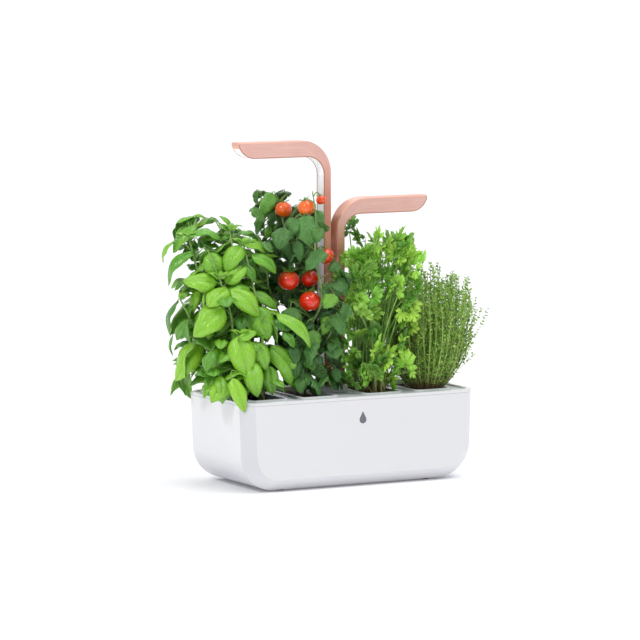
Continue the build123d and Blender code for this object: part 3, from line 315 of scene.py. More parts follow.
def shellWhite():
    # white gloss plastic with a fine dark parting line where the tank's rim sits on the shell, and
    # painted shade: front faces darker than the sides, sides darker towards the bottom, darker bevels
    finish = Finish("shellWhite", Coat_Weight=0.2, Coat_Roughness=0.2)
    height = finish.place.parts()[2]
    seam = 1 - (abs(height - planter["seam"]) * 1000).step(0.15, 0.7)
    cloud = finish.noise(18, 3).step(0.3, 0.7).blend(rgb(232, 232, 235), rgb(234, 234, 237))
    front = abs(finish.normal()[1])
    low = (1 - height.step(0.0, 0.058)) * (1 - front.step(0.3, 0.5))
    paintedBevelShade = front.step(0.3, 0.45) * (1 - front.step(0.9, 0.98))
    # painted shade: the front faces darker than the sides
    body = (front.step(0.9, 0.98) * 0.8).blend(cloud, rgb(224, 224, 226))
    # painted shade: the sides darker towards the bottom
    body = (low * 0.85).blend(body, rgb(200, 202, 210))
    # painted shade on the bevels between the front and the sides
    body = (paintedBevelShade * height.step(0.01, 0.05, 0.45, 0.8)).blend(body, rgb(206, 206, 212))
    return finish.cover((seam * 0.55).blend(body, rgb(150, 152, 158)),
                        0.30 + (finish.noise(60, 4) - 0.5) * 0.03, finish.noise(1600, 2), 0.000004, 0.6)


# lines of a lamp seen flat on, in millimetres out from the middle and down from its top
lampLines = dict(rightTop=433, leftLift=90, stemFace=4.9, bend=50, underHead=25, stemBack=17.6,
                 innerBend=28, innerCentre=(45.6, 53), bow=28.44, bowCentre=(135.5, -3.44))


def copperCoat():
    # Satin copper coat. Seen flat on, each lamp is a band: the distance from its outer line is
    # the distance from the stem's face up the stem, the depth below the top along the head, and
    # between them the bend's radius less the distance from its centre; the inner line is found
    # the same way with its own bend and the bow at the tip. The grain follows the band. Painted
    # reflection gives the sides a tone of their own and the stem a deeper tone than the head, and a
    # fine darker line along both edges of the flat sides is a painted dark reflection.
    finish = Finish("copperCoat", Metallic=0.34, IOR=1.5, Coat_Weight=0.15, Coat_Roughness=0.3)
    x, _, z = finish.place.parts()
    bend, face = lampLines["bend"], lampLines["stemFace"]
    innerX, innerDepth = lampLines["innerCentre"]
    bowX, bowDepth = lampLines["bowCentre"]
    leftSide = 1 - (x * 1000).step(-1, 1)
    out = abs(x) * 1000
    depth = lampLines["rightTop"] + leftSide * lampLines["leftLift"] - z * 1000
    outerBend = bend - (bend + face - out).most(0.0).length((bend - depth).most(0.0))
    outer = outerBend.least((out - face).least(depth))
    innerBend = (innerX - out).most(0.0).length((innerDepth - depth).most(0.0)) - lampLines["innerBend"]
    straight = (lampLines["underHead"] - depth).most(lampLines["stemBack"] - out)
    inCorner = (innerX - out).step(0, 0.5) * (innerDepth - depth).step(0, 0.5)
    inner = straight * (1 - inCorner) + innerBend * inCorner
    bow = lampLines["bow"] - (out - bowX).most(0.0).length((depth - bowDepth).most(0.0))
    edge = abs(outer).least(abs(inner).least(abs(bow + (bowX - out).most(0.0) * 10)))
    along = finish.start.add("ShaderNodeCombineXYZ", {}, {0: outer * 1.1, 1: out * 0.02, 2: depth * 0.02})
    streak = finish.noise(1.0, 3, 0.6, along)
    fine = finish.noise(2.2, 2, 0.6, along)
    flat = abs(finish.normal()[1]).step(0.80, 0.99)
    onStem = depth.step(18, 95) * (1 - out.step(40, 90))
    grain = (finish.noise(26, 3) * 0.3 + streak * 0.7).step(0.25, 0.75)
    # painted reflection: the sides, off the flat faces, get a tone of their own
    paintedSideReflection = onStem.blend(rgb(226, 168, 148), rgb(226, 166, 146))
    head = grain.blend(rgb(226, 174, 160), rgb(240, 196, 186))
    # painted reflection: the stem's flat faces deeper in tone than the head's
    stem = grain.blend(rgb(196, 124, 100), rgb(218, 156, 134))
    body = flat.blend(paintedSideReflection, onStem.blend(head, stem))
    # painted dark reflection: a fine line along both edges of the flat sides
    line = (1 - edge.step(0.7, 1.9)) * flat * 0.9
    return finish.cover(line.blend(body, rgb(176, 108, 80)), 0.36 + (fine - 0.5) * 0.16,
                        fine + finish.noise(3000, 1) * 0.3, 0.00002, 0.5)


def boardFinish(name, colour):
    # lacquered board: faint tracks under the lacquer
    finish = Finish(name, Coat_Weight=0.4, Coat_Roughness=0.1)
    x, y, _ = finish.place.parts()
    track = ((x * 900).wave() * (y * 1100).wave()).step(0.55, 0.75)
    body = track.blend(colour, scaled(colour, 1.6, 0.02))
    return finish.cover(body, 0.45 - track * 0.1, track, 0.00003, 0.5)


def soilFinish():
    # damp peat: dark crumbs, a few pale grains and fibres
    finish = Finish("soil")
    crumbs = finish.noise(260, 6, 0.7)
    pale = 1 - finish.cells(150.0).step(0.06, 0.12)
    body = crumbs.step(0.35, 0.68).blend(rgb(28, 20, 14), rgb(86, 64, 46))
    return finish.cover((pale * finish.noise(60, 2).step(0.5, 0.62)).blend(body, rgb(190, 182, 168)),
                        0.95 - crumbs * 0.3, crumbs + finish.cells(420.0) * 0.6, 0.0012, 0.9)


def feltFinish():
    finish = Finish("feltCord")
    fibre = finish.fibre(1200, 4, 0.7, 0.12)
    return finish.cover(fibre.step(0.3, 0.7).blend(rgb(196, 192, 180), rgb(232, 229, 219)),
                        0.92 - fibre * 0.1, fibre, 0.0003, 0.8)


def leafFinish(name, look, under=False):
    # veins from the UV map; how bright and warm each leaf is, and where its veins fall, from its tone
    finish = Finish(name, Subsurface_Weight=look["through"], Subsurface_Radius=(0.6, 1.0, 0.25),
                    Subsurface_Scale=0.0012, Coat_Weight=look["gloss"], Coat_Roughness=0.2)
    along, across, _ = finish.uv()
    bright, warm, chance = finish.tone()
    side = abs(across * 2 - 1)
    midrib = 1 - side.step(0.02, look["midrib"])
    phase = (along - side * look["slope"] + side * side * look["hook"]) * look["veins"] + chance
    phase = phase.maths("FRACT", phase)
    vein = 1 - abs(phase - 0.5).step(0.03, look["veinWidth"])
    vein = vein * (1 - side.step(0.6, 1.0)) * along.step(0.02, 0.12)
    net = finish.noise(look["netScale"], 3, 0.6)
    lines = midrib.most(vein * 0.8)
    shade = (bright + 0.12 + (finish.noise(90, 3) - 0.5) * 0.3).step(0.0, 1.0)
    cool = shade.blend(look["dark"], look["light"])
    body = warm.step(0.15, 0.9).blend(cool, shade.blend(look["warmDark"], look["warmLight"]))
    # painted highlight: the edge of each leaf is lightened towards the vein colour
    veined = (lines * look["veinShow"] + side.step(0.9, 1.0) * 0.25).blend(body, look["vein"])
    if under:
        veined = finish.start.blend(veined, look["under"], 0.42)
    puff = (phase * pi).wave() * (1 - side.step(0.75, 1.0))
    height = net * 0.35 + (puff * look["puff"] - lines * 0.6) * (-1.0 if under else 1.0)
    roughness = look["rough"] + (0.12 if under else 0.0) + (net - 0.5) * 0.16
    return finish.cover(veined, roughness, height, look["relief"], 0.75)


def stemFinish(name, low, high, root):
    finish = Finish(name, Subsurface_Weight=0.12, Subsurface_Scale=0.002, Subsurface_Radius=(0.6, 1.0, 0.3))
    fibre = finish.fibre(700, 3, 0.6, 0.15)
    green = fibre.step(0.3, 0.7).blend(low, high)
    nearSoil = 1 - finish.place.parts()[2].step(0.134, 0.17)
    return finish.cover(nearSoil.blend(green, root), 0.42 + fibre * 0.15, fibre, 0.00025, 0.6)


def fruitFinish():
    # ripe skin: deeper red at the sides, orange and yellowish near the stalk, tiny pale specks
    finish = Finish("tomatoSkin", Coat_Weight=0.9, Coat_Roughness=0.07, Subsurface_Weight=0.05,
                    Subsurface_Scale=0.003, Subsurface_Radius=(1.0, 0.3, 0.1))
    down, ripe = finish.uv()[1], finish.tone()[0]
    cloud = finish.noise(70, 3)
    red = (ripe + (cloud - 0.5) * 0.25).step(0.0, 1.0).blend(rgb(250, 108, 6), rgb(234, 32, 6))
    shoulder = 1 - (down + (cloud - 0.5) * 0.15).step(0.04, 0.42)
    specks = 1 - finish.cells(900.0).step(0.05, 0.14)
    skin = (shoulder * 0.5).blend(red, rgb(238, 132, 34))
    return finish.cover((specks * 0.22).blend(skin, rgb(250, 176, 96)), 0.22 + cloud * 0.08,
                        cloud * 0.5 + specks * 0.2, 0.0002, 0.4)


# opal white that glows faintly: a painted glow on the unlit diffusers and on the liners
opalGlow = dict(roughness=0.42, drift=0.01, grain=0.00002, grainScale=900, Subsurface_Weight=0.1,
            Subsurface_Scale=0.002, Emission_Color=(0.95, 0.97, 1, 1))
metal = dict(drift=0.05, grainScale=1400, Metallic=1.0)
mouldedLooks = dict(
    tray_white=dict(colour=rgb(226, 231, 232), roughness=0.34, drift=0.015),
    deck_grey=dict(colour=rgb(214, 219, 221), roughness=0.38, drift=0.015),
    cover_grey=dict(colour=rgb(118, 120, 124), roughness=0.5, drift=0.04, grain=0.00006, grainScale=1800),
    lens_grey=dict(colour=rgb(96, 100, 108), roughness=0.2, drift=0.02, grain=0.00001, grainScale=900,
                   Coat_Weight=0.6, Coat_Roughness=0.05),
    column_grey=dict(colour=rgb(205, 207, 210), roughness=0.4, drift=0.02),
    # painted glow on the diffusers and liners
    diffuser_white=dict(opalGlow, colour=rgb(236, 240, 246), Emission_Strength=0.22),
    liner_white=dict(opalGlow, colour=rgb(240, 243, 248), Emission_Strength=0.10),
    sink_aluminium=dict(metal, colour=rgb(196, 199, 204), roughness=0.35, grain=0.00003),
    contact_brass=dict(metal, colour=rgb(206, 170, 98), roughness=0.28, grain=0.00002),
    steel=dict(metal, colour=rgb(178, 180, 184), roughness=0.3, grain=0.00002),
    foot_rubber=dict(colour=rgb(52, 52, 55), roughness=0.75, drift=0.08, grain=0.00008, grainScale=2600),
    socket_black=dict(colour=rgb(26, 27, 29), roughness=0.45, drift=0.08, grain=0.00004, grainScale=2200),
    button_grey=dict(colour=rgb(176, 179, 184), roughness=0.36, drift=0.02),
    float_foam=dict(colour=rgb(228, 226, 218), roughness=0.8, drift=0.05, grain=0.0003, grainScale=900),
)
finishes = dict(shell_white=shellWhite(), lamp_copper=copperCoat(),
                board_white=boardFinish("boardWhite", rgb(214, 217, 216)),
                board_green=boardFinish("boardGreen", rgb(34, 92, 58)))
for slotWords, look in mouldedLooks.items():
    firstWord, *otherWords = slotWords.split("_")
    finishes[slotWords] = moulded(firstWord + "".join(word.title() for word in otherWords), **look)
for part in frame["record"]["subparts"]:
    finish = finishes.get(part["material_slot"])
    node = frame["nodes"].get(part["node"])
    if finish and node:
        node.data.materials.clear()
        node.data.materials.append(finish)
print("hard finishes on the carried-over nodes")

# places of the plants, read along the sight line: column and row in steps, depth as
# a share of the basin's half depth
sight = dict(turn=radians(27.8), tilt=radians(5.9), step=1.534 * mm)
soilCentres = dict(basil=(249.6, 398.4), tomato=(299.3, 395.7), parsley=(362.7, 392.3), thyme=(412.0, 389.9))
turnSin, turnCos, tiltSin, tiltCos = (f(sight[k]) for k in ("turn", "tilt") for f in (sin, cos))
toViewer = np.array([-turnSin * tiltCos, -turnCos * tiltCos, tiltSin])
# what leaves keep off: the lamps' stems and heads, the filler flap, the ends of their room and the
# room that trays take when they lift out
keepOut = dict(lampY=0.0165, stemX=0.0225, headX=0.167, leftHead=0.400, rightHead=0.320, flapX=0.036,
               flapY=(0.012, 0.100), flapTop=0.206, x=(-0.262, 0.256), y=(-0.1045, 0.1035), deck=0.1345,
               rimTop=0.142, rimY=0.066, trayX=0.030, trayY=0.070, trayTop=0.232)


def sightPlace(plant, table):
    # the places of columns, rows and depths (..., 3)
    column, row, depth = np.moveaxis(table, -1, 0)
    footColumn, footRow = soilCentres[plant]
    y = depth * planter["halfDepth"]
    x = ((column - footColumn) * sight["step"] + y * turnSin) / turnCos
    z = ((footRow - row) * sight["step"] - (x * turnSin + y * turnCos) * tiltSin) / tiltCos
    return np.stack([slotPlaces[plant] + x, y, planter["soilTop"] + z], -1)


def onSight(plant, points):
    # column, row and nearness to the viewer of points of a plant
    x, y, z = points[..., 0] - slotPlaces[plant], points[..., 1], points[..., 2] - planter["soilTop"]
    footColumn, footRow = soilCentres[plant]
    back = x * turnSin + y * turnCos
    return (footColumn + (x * turnCos - y * turnSin) / sight["step"],
            footRow - (z * tiltCos + back * tiltSin) / sight["step"], -back * tiltCos + z * tiltSin)


def shownLeaves(plant, table):
    # bases and tips of the leaves that the photograph shows, and the columns after them
    rows = np.array(table)
    return sightPlace(plant, rows[:, :3]), sightPlace(plant, rows[:, 3:6]), *rows[:, 6:].T


def stemPaths(plant, table, rooted=slice(None)):
    bends = sightPlace(plant, table)
    bends[rooted, 0, 2] = planter["soilTop"] - 0.004
    return smoothPaths(bends, 40)


def inOutline(column, row, outline):
    # whether each place lies inside the outline, by counting the borders crossed to its right
    inside = np.zeros(np.shape(column), bool)
    for (x0, y0), (x1, y1) in zip(outline, outline[1:] + outline[:1]):
        crosses = (y0 > row) != (y1 > row)
        inside ^= crosses & (column < (x1 - x0) * (row - y0) / ((y1 - y0) or 1e-9) + x0)
    return inside


def clearOfLamps(points, plant):
    # whether whole leaves (..., k, 3) keep off all that keepOut lists but the trays
    k = keepOut
    x, y, z = points[..., 0], points[..., 1], points[..., 2]
    head = k["leftHead"] if slotPlaces[plant] < 0 else k["rightHead"]
    bad = (np.abs(y) < k["lampY"]) & ((np.abs(x) < k["stemX"]) | ((z > head) & (np.abs(x) < k["headX"])))
    bad |= (np.abs(x) < k["flapX"]) & (y > k["flapY"][0]) & (y < k["flapY"][1]) & (z < k["flapTop"])
    bad |= (x < k["x"][0]) | (x > k["x"][1]) | (y < k["y"][0]) | (y > k["y"][1]) | (z < k["deck"])
    bad |= (z < k["rimTop"]) & (np.abs(y) > k["rimY"])
    return ~bad.any(-1)


def clearOfTrays(points, plant, margin=0.008):
    # whether whole leaves keep out of the room that the other trays need when they lift out
    x, y, z = points[..., 0], points[..., 1], points[..., 2]
    over = (np.abs(y) < keepOut["trayY"] + margin) & (z < keepOut["trayTop"] + margin)
    others = [place for name, place in slotPlaces.items() if name != plant]
    return ~np.any([over & (np.abs(x - place) < keepOut["trayX"] + margin) for place in others], 0).any(-1)


def hide(shown, samples, plant, gap):
    # whether any sample of each leaf (..., k, 3) stands before one of the shown places
    column, row, near = (a[..., None] for a in onSight(plant, samples))
    shownColumn, shownRow, shownNear = onSight(plant, shown)
    off = np.hypot(column - shownColumn, row - shownRow)
    return ((off < gap) & (near > shownNear - 0.004)).any((-1, -2))


def fits(plant, samples, outline, reach=(-1, 1), clear=()):
    # whether whole leaves stand in the outline and the reach and off the lamps and trays, and
    # hide none of the places in clear, a list of places and gaps
    column, row, _ = onSight(plant, samples)
    fit = inOutline(column, row, outline).all(-1)
    fit &= clearOfLamps(samples, plant) & clearOfTrays(samples, plant)
    fit &= (samples[..., 0] > reach[0]).all(-1) & (samples[..., 0] < reach[1]).all(-1)
    for shown, gap in clear:
        fit &= ~hide(shown, samples, plant, gap)
    return fit


# leaves
def leafAxes(along, facing):
    # a leaf's normal, square to its length and as near to facing as can be, and its across
    normal = unit(facing - along * (facing * along).sum(-1, keepdims=True))
    return normal, np.cross(normal, along)


def layLeaf(base, along, facing, ahead, beside, lift):
    # places at lengths (n, rows, columns) ahead of, beside and above each leaf's base
    normal, across = leafAxes(along, facing)
    return (base[:, None, None] + along[:, None, None] * ahead[..., None]
            + across[:, None, None] * beside[..., None] + normal[:, None, None] * lift[..., None])


def leafSheets(shape, base, tip, facing, width, arch, twist, seed):
    # Each leaf is a grid: u runs from stalk to tip and v from edge to edge. Its half width is
    # u to one power times 1 - u to another, scaled to 1 at its widest, with forward teeth cut
    # into it. The midrib rises with the sine of pi u and falls with u cubed; the blade bends
    # with v squared, dips in a narrow bell along the midrib, ripples with u towards its edges
    # and turns about the midrib by twist.
    u = np.linspace(0, 1, shape["grid"][0])[None, :, None]
    v = np.linspace(-1, 1, shape["grid"][1])[None, None, :]
    near, far = shape["near"], shape["far"]
    peak = near / (near + far)
    half = (u / peak) ** near * ((1 - u) / (1 - peak)) ** far
    if shape["teeth"]:
        half = half * (1 - shape["toothDepth"] * (1 - (u * shape["teeth"]) % 1.0))
    half = np.maximum(half, 0.035)
    width, arch, twist, seed = (a[:, None, None] for a in (width, arch, twist, seed))
    length = np.linalg.norm(tip - base, axis=-1)[:, None, None]
    turn = twist * (u - 0.4)
    reach = length * width / 2 * half
    rise = length * (arch * np.sin(pi * u) - shape["fall"] * u**3)
    cup = reach * (shape["cup"] * v**2 - shape["groove"] * np.exp(-((v / 0.22) ** 2)))
    wave = np.sin(2 * pi * shape["ripples"] * u + seed * 2 * pi + np.sign(v) * 1.3)
    ripple = reach * shape["ripple"] * wave * v**2
    lift = rise + (cup + ripple) * np.cos(turn) + reach * v * np.sin(turn)
    out = reach * v * np.cos(turn) - (cup + ripple) * np.sin(turn)
    points = layLeaf(base, unit(tip - base), facing, length * np.broadcast_to(u, lift.shape), out, lift)
    return points, np.stack(np.broadcast_arrays(u, v * 0.5 + 0.5), -1)


def fanSheets(shape, base, tip, facing, width, arch, seed):
    # Each leaflet is a fan about its stalk: r is the share of the way out and t runs across from
    # edge to edge. Its reach is a broad cosine of t, notched by the cosine of 1.5 pi t into three
    # lobes and by that of 4.5 pi t into teeth. It rises with the sine of pi r, cups with r and t
    # squared, and each lobe rises and falls a little.
    r = np.linspace(0.06, 1, shape["grid"][0])[None, :, None]
    t = np.linspace(-1, 1, shape["grid"][1])[None, None, :]
    lobes = np.abs(np.cos(1.5 * pi * t)) ** 0.6
    teeth = np.abs(np.cos(4.5 * pi * t))
    out = 0.58 + 0.42 * np.cos(t * pi / 2)
    out = out * (1 - shape["notch"] * (1 - lobes)) * (1 - shape["toothDepth"] * (1 - teeth))
    out = out * np.where(np.abs(t) > 0.97, 0.45, 1.0)
    width, arch, seed = (a[:, None, None] for a in (width, arch, seed))
    angle = t * radians(shape["spread"]) * (width / 0.5)
    length = np.linalg.norm(tip - base, axis=-1)[:, None, None]
    waves = 0.07 * np.cos(3 * pi * t + seed * 2 * pi)
    lift = length * (arch * np.sin(pi * r) + r**2 * (waves - shape["cup"] * t**2))
    ahead, beside = length * r * out * np.cos(angle), length * r * out * np.sin(angle)
    points = layLeaf(base, unit(tip - base), facing, ahead, beside, lift)
    return points, np.stack(np.broadcast_arrays(r, t * 0.5 + 0.5), -1)


leafShapes = dict(
    basil=dict(near=0.55, far=0.78, cup=-0.55, groove=0.36, fall=0.15, ripple=0.10, ripples=2.0, teeth=0,
               grid=(13, 11), arch=(0.12, 0.26), twist=0.35),
    tomato=dict(near=0.42, far=0.70, cup=-0.42, groove=0.30, fall=0.14, ripple=0.20, ripples=2.5, teeth=4,
                toothDepth=0.16, grid=(14, 7), arch=(0.06, 0.2), twist=0.5),
    parsley=dict(spread=62, notch=0.42, toothDepth=0.13, cup=0.16, grid=(3, 19)),
)
leafShapes["sepal"] = dict(leafShapes["tomato"], teeth=0, near=0.5, far=0.9, cup=-0.3, fall=-0.1,
                           grid=(9, 5))
leafLooks = dict(
    basil=dict(dark=rgb(44, 112, 24), light=rgb(108, 178, 48), warmDark=rgb(84, 150, 12),
               warmLight=rgb(146, 204, 46), vein=rgb(176, 214, 120), under=rgb(150, 190, 120), through=0.28,
               midrib=0.09, slope=0.42, hook=0.10, veins=6.0, veinWidth=0.20, veinShow=0.14, netScale=420.0,
               puff=0.9, relief=0.0008, rough=0.27, gloss=0.35),
    tomato=dict(dark=rgb(30, 80, 32), light=rgb(104, 166, 80), warmDark=rgb(60, 118, 20),
                warmLight=rgb(140, 204, 54), vein=rgb(128, 164, 108), under=rgb(126, 156, 110), through=0.18,
                midrib=0.08, slope=0.5, hook=0.12, veins=6.0, veinWidth=0.14, veinShow=0.24, netScale=420.0,
                puff=1.2, relief=0.0012, rough=0.46, gloss=0.12),
    parsley=dict(dark=rgb(40, 116, 22), light=rgb(146, 216, 74), warmDark=rgb(92, 162, 18),
                 warmLight=rgb(188, 238, 82), vein=rgb(150, 190, 100), under=rgb(128, 168, 92), through=0.22,
                 midrib=0.10, slope=0.6, hook=0.1, veins=4.0, veinWidth=0.14, veinShow=0.30, netScale=700.0,
                 puff=0.6, relief=0.0005, rough=0.4, gloss=0.15),
    thyme=dict(dark=rgb(62, 122, 26), light=rgb(140, 202, 76), warmDark=rgb(108, 158, 30),
               warmLight=rgb(186, 226, 98), vein=rgb(160, 184, 120), through=0.12, midrib=0.2, slope=0.2,
               hook=0.0, veins=1.0, veinWidth=0.1, veinShow=0.2, netScale=1500.0, puff=0.1, relief=0.0002,
               rough=0.55, gloss=0.0),
)
stemColours = dict(
    basil=(rgb(104, 148, 66), rgb(150, 186, 104), rgb(120, 132, 84)),
    tomato=(rgb(88, 122, 60), rgb(140, 170, 98), rgb(110, 116, 78)),
    parsley=(rgb(110, 156, 62), rgb(160, 196, 104), rgb(150, 140, 92)),
    thyme=(rgb(148, 176, 84), rgb(190, 208, 124), rgb(132, 112, 78)),
)


def leafPiece(plant, sheets, bright, warm, seed, thickness):
    points, uv = sheets
    look = leafLooks[plant]
    makePiece(f"{plant}Leaves", plant, points, [gridFaces(points)],
              [leafFinish(f"{plant}Leaf", look), leafFinish(f"{plant}LeafUnder", look, True)],
              replaced=[f"{plant}_plant"], uv=uv, tone=np.stack([bright, warm, seed], -1)[:, None, None],
              thickness=thickness)


def makeLeaves(plant, groups, thickness, chance):
    # all groups of leaves as one piece; a group's columns are base, tip, facing, width, bright, warm
    base, tip, facing, width, bright, warm = (np.concatenate(part) for part in zip(*groups))
    shape, count = leafShapes[plant], len(base)
    seed = chance.uniform(0, 1, count)
    arch, twist = chance.uniform(*shape["arch"], count), chance.normal(0, shape["twist"], count)
    sheets = leafSheets(shape, base, tip, facing, width, arch, twist, seed)
    leafPiece(plant, sheets, bright, warm, seed, thickness)
    return base, tip


def makeStems(plant, *parts):
    points, faces = joinBodies(parts)
    makePiece(f"{plant}Stems", plant, points, faces, [stemFinish(f"{plant}Stem", *stemColours[plant])])


def petioles(paths, bases, directions, radius, lowBias):
    # from the nearest point of the stems, preferring lower ones and those on the leaf's own side
    # of the lamps, a curve that leaves upward and arrives along the leaf
    lampHead = dict(z=0.392, x=0.168, y=0.0175)
    stemPoints = paths.reshape(-1, 3)
    gap = np.linalg.norm(bases[:, None] - stemPoints[None], axis=-1)
    wanted = bases[:, None, 2] - lowBias * gap
    across = (stemPoints[None, :, 1] * bases[:, None, 1] < 0) & (bases[:, None, 2] > 0.33)
    cost = gap + 1.5 * np.maximum(stemPoints[None, :, 2] - wanted, 0) + 0.3 * across
    foot = stemPoints[cost.argmin(1)]
    bend = bases - directions * np.linalg.norm(bases - foot, axis=-1)[:, None] * 0.45
    path = bowed(foot, bend, bases, 6)
    path[:, -1] += directions * 0.0006
    x, y, z = np.moveaxis(path, -1, 0)
    underHead = (z > lampHead["z"]) & (np.abs(x) < lampHead["x"]) & (np.abs(y) < lampHead["y"])
    path[..., 1] = np.where(underHead, np.sign(bases[:, None, 1]) * lampHead["y"], y)
    return tubes(path, np.linspace(1.25, 0.8, 6) * radius, 6)


def paintedInnerShade(plant, places):
    # painted shade: leaves near the middle of a plant are darker than those at its outside
    return np.clip(np.hypot((places[:, 0] - slotPlaces[plant]) / 0.07, places[:, 1] / 0.085), 0.2, 1)


def draws(chance, count, *ranges):
    # count random numbers in each of the ranges, in their order
    return [chance.uniform(low, high, count) for low, high in ranges]


def scatterLeaves(plant, spec, clear, chance):
    # leaves at random places inside the plant's outline, each leaning outward from the
    # plant's middle, kept where they fit
    tries = spec["fill"] * 30
    columns, rows = np.array(spec["outline"]).T
    place = draws(chance, tries, (columns.min(), columns.max()), (rows.min(), rows.max()), spec["fillDepth"])
    place = sightPlace(plant, np.stack(place, -1))
    outward = place - np.array([slotPlaces[plant] + spec["lean"], 0, 0])
    outward = unit(outward * [1, 1.3, 0] + chance.normal(0, 0.02, place.shape) * [1, 1, 0])
    share, rise = chance.uniform(0.5, 1.0, (tries, 1)), chance.uniform(*spec["fillRise"], (tries, 1))
    way = unit(outward * share + upward * rise)
    size = chance.uniform(*spec["fillLength"], tries)[:, None]
    base, tip = place - way * size * 0.5, place + way * size * 0.5
    fit = fits(plant, np.stack([base, place, tip], 1), spec["outline"], spec["reach"], clear)
    chosen = np.flatnonzero(fit)[:spec["fill"]]
    facing = upward + outward * 0.6 + chance.normal(0, 0.2, place.shape)
    return base[chosen], tip[chosen], facing[chosen]


# basil
# stems as bends: column, row, depth
basilStems = np.array([
    [(247, 396, 0.10), (214, 330, 0.02), (199, 269, 0.18), (191, 240, 0.30)],
    [(262, 401, -0.30), (238, 345, -0.46), (232, 312, -0.38), (222, 280, -0.30)],
    [(252, 395, 0.15), (240, 330, -0.10), (237, 270, -0.16), (231, 232, 0.20)],
    [(264, 401, -0.30), (264, 350, -0.48), (257, 300, -0.34), (245, 246, -0.18)],
    [(242, 397, 0.25), (216, 362, 0.10), (196, 325, 0.04), (183, 300, 0.10)],
    [(266, 403, -0.42), (258, 380, -0.58), (252, 362, -0.66), (244, 336, -0.66)],
    [(246, 396, 0.40), (236, 330, 0.42), (232, 270, 0.40), (226, 240, 0.36)],
    [(250, 396, 0.50), (216, 340, 0.58), (200, 290, 0.56), (196, 262, 0.50)],
    [(256, 397, 0.20), (262, 330, 0.26), (268, 290, 0.22), (266, 262, 0.16)],
])
# base column, row, depth, tip column, row, depth, width share, bright, warm
basilLeaves = [
    (206.6, 218.3, .40, 192.6, 216.5, .46, .50, .55, .50),
    (197.5, 224.7, .36, 172.5, 249.9, .42, .55, .55, .45),
    (175.3, 242.0, .42, 161.5, 261.4, .62, .60, .75, .55),
    (195.9, 251.4, .20, 165.9, 282.3, .45, .46, .50, .10),
    (222.0, 240.0, .22, 193.0, 232.0, .18, .66, .70, .15),
    (211.2, 253.5, -.05, 223.5, 281.0, -.15, .74, .60, .55),
    (219.0, 283.0, -.25, 187.0, 278.0, -.10, .74, .80, .65),
    (228.0, 284.1, -.30, 247.5, 263.2, -.28, .62, .90, .60),
    (227.3, 287.2, -.38, 211.2, 304.0, -.52, .74, .85, .65),
    (231.7, 290.0, -.42, 262.8, 314.7, -.58, .56, .92, .65),
    (254.1, 292.5, -.25, 280.1, 307.1, -.34, .50, .50, .45),
    (241.9, 245.8, -.18, 226.6, 270.3, -.26, .66, .75, .55),
    (243.0, 242.5, -.18, 269.0, 250.5, -.20, .46, .85, .60),
    (252.0, 255.0, -.20, 279.8, 271.5, -.26, .48, .85, .35),
    (226.0, 307.0, -.48, 196.0, 333.5, -.45, .70, .88, .65),
    (256.0, 307.6, -.44, 272.0, 338.4, -.56, .84, .62, .50),
    (277.0, 314.0, -.76, 315.0, 344.0, -.90, .33, .78, .60),
    (240.0, 335.0, -.70, 250.5, 374.5, -.84, .70, .95, .65),
    (241.0, 338.0, -.74, 258.0, 330.0, -.80, .60, .90, .60),
    (203.0, 342.0, .00, 175.5, 378.0, .10, .54, .85, .85),
    (180.0, 300.0, .22, 166.0, 334.0, .50, .46, .22, .10),
    (189.8, 319.3, .00, 176.0, 339.2, .20, .50, .35, .40),
    (258.7, 342.3, -.64, 268.1, 368.0, -.76, .66, .65, .55),
    (251.5, 360.2, -.72, 259.0, 395.0, -.84, .54, .72, .60),
    (269.0, 365.0, -.58, 273.5, 393.0, -.68, .60, .50, .45),
    (272.0, 345.0, -.46, 298.4, 385.0, -.58, .58, .62, .50),
    (234.2, 376.5, -.86, 248.2, 409.5, -.97, .44, .90, .90),
    (229.6, 379.0, -.62, 213.8, 397.9, -.72, .65, .80, .75),
    (221.0, 374.0, -.60, 226.0, 401.0, -.72, .50, .60, .60),
    (174.5, 334.6, .30, 171.1, 354.5, .42, .45, .35, .40),
    (233.0, 230.0, .34, 222.0, 215.0, .40, .50, .60, .50),
    (223.0, 261.0, .00, 199.0, 268.5, .05, .56, .85, .50),
    (201.0, 291.0, .10, 193.0, 313.0, .16, .50, .90, .90),
]
basil = dict(first=0.03, pairSpacing=0.021, leafLength=0.046, stalk=0.009, stemRadius=0.0021,
             thickness=0.00045, seed=11, fill=170, fillDepth=(-0.75, 0.9), fillRise=(-1.0, 0.15),
             fillLength=(0.030, 0.046), lean=-0.02, reach=(-0.262, -0.088), clearOff=10)
basil["outline"] = [
    (160, 262), (163, 246), (175, 232), (188, 214), (212, 211), (232, 215), (243, 235), (262, 238),
    (275, 250), (283, 268), (284, 300), (314, 325), (316, 345), (299, 352), (297, 388), (275, 397),
    (250, 410), (240, 402), (208, 401), (190, 380), (173, 377), (164, 335), (163, 325), (170, 300),
    (163, 285)]


def opposedPairs(paths, spec, chance):
    # two leaves at each joint of a stem, each pair a quarter turn on from the one below
    pairs = []
    for path, run in zip(paths, travelled(paths)):
        joints = np.arange(spec["first"], run[-1], spec["pairSpacing"]) + chance.uniform(-0.003, 0.003)
        count, foot, share = len(joints), pathPlaces(joints, run, path), joints / run[-1]
        turn = chance.uniform(0, 2 * pi) + np.arange(count) * pi / 2 + chance.normal(0, 0.25, count)
        for half in (0, pi):
            lift = radians(12) + radians(30) * share + chance.normal(0, 0.18, count)
            way = polar(turn + half, np.cos(lift), np.sin(lift))
            size = 0.62 + 0.5 * np.sin(pi * np.clip(share * 0.85 + 0.1, 0, 1)) - 0.35 * share**4
            pairs.append((foot, way, size * chance.uniform(0.8, 1.15, count)))
    return (np.concatenate(part) for part in zip(*pairs))


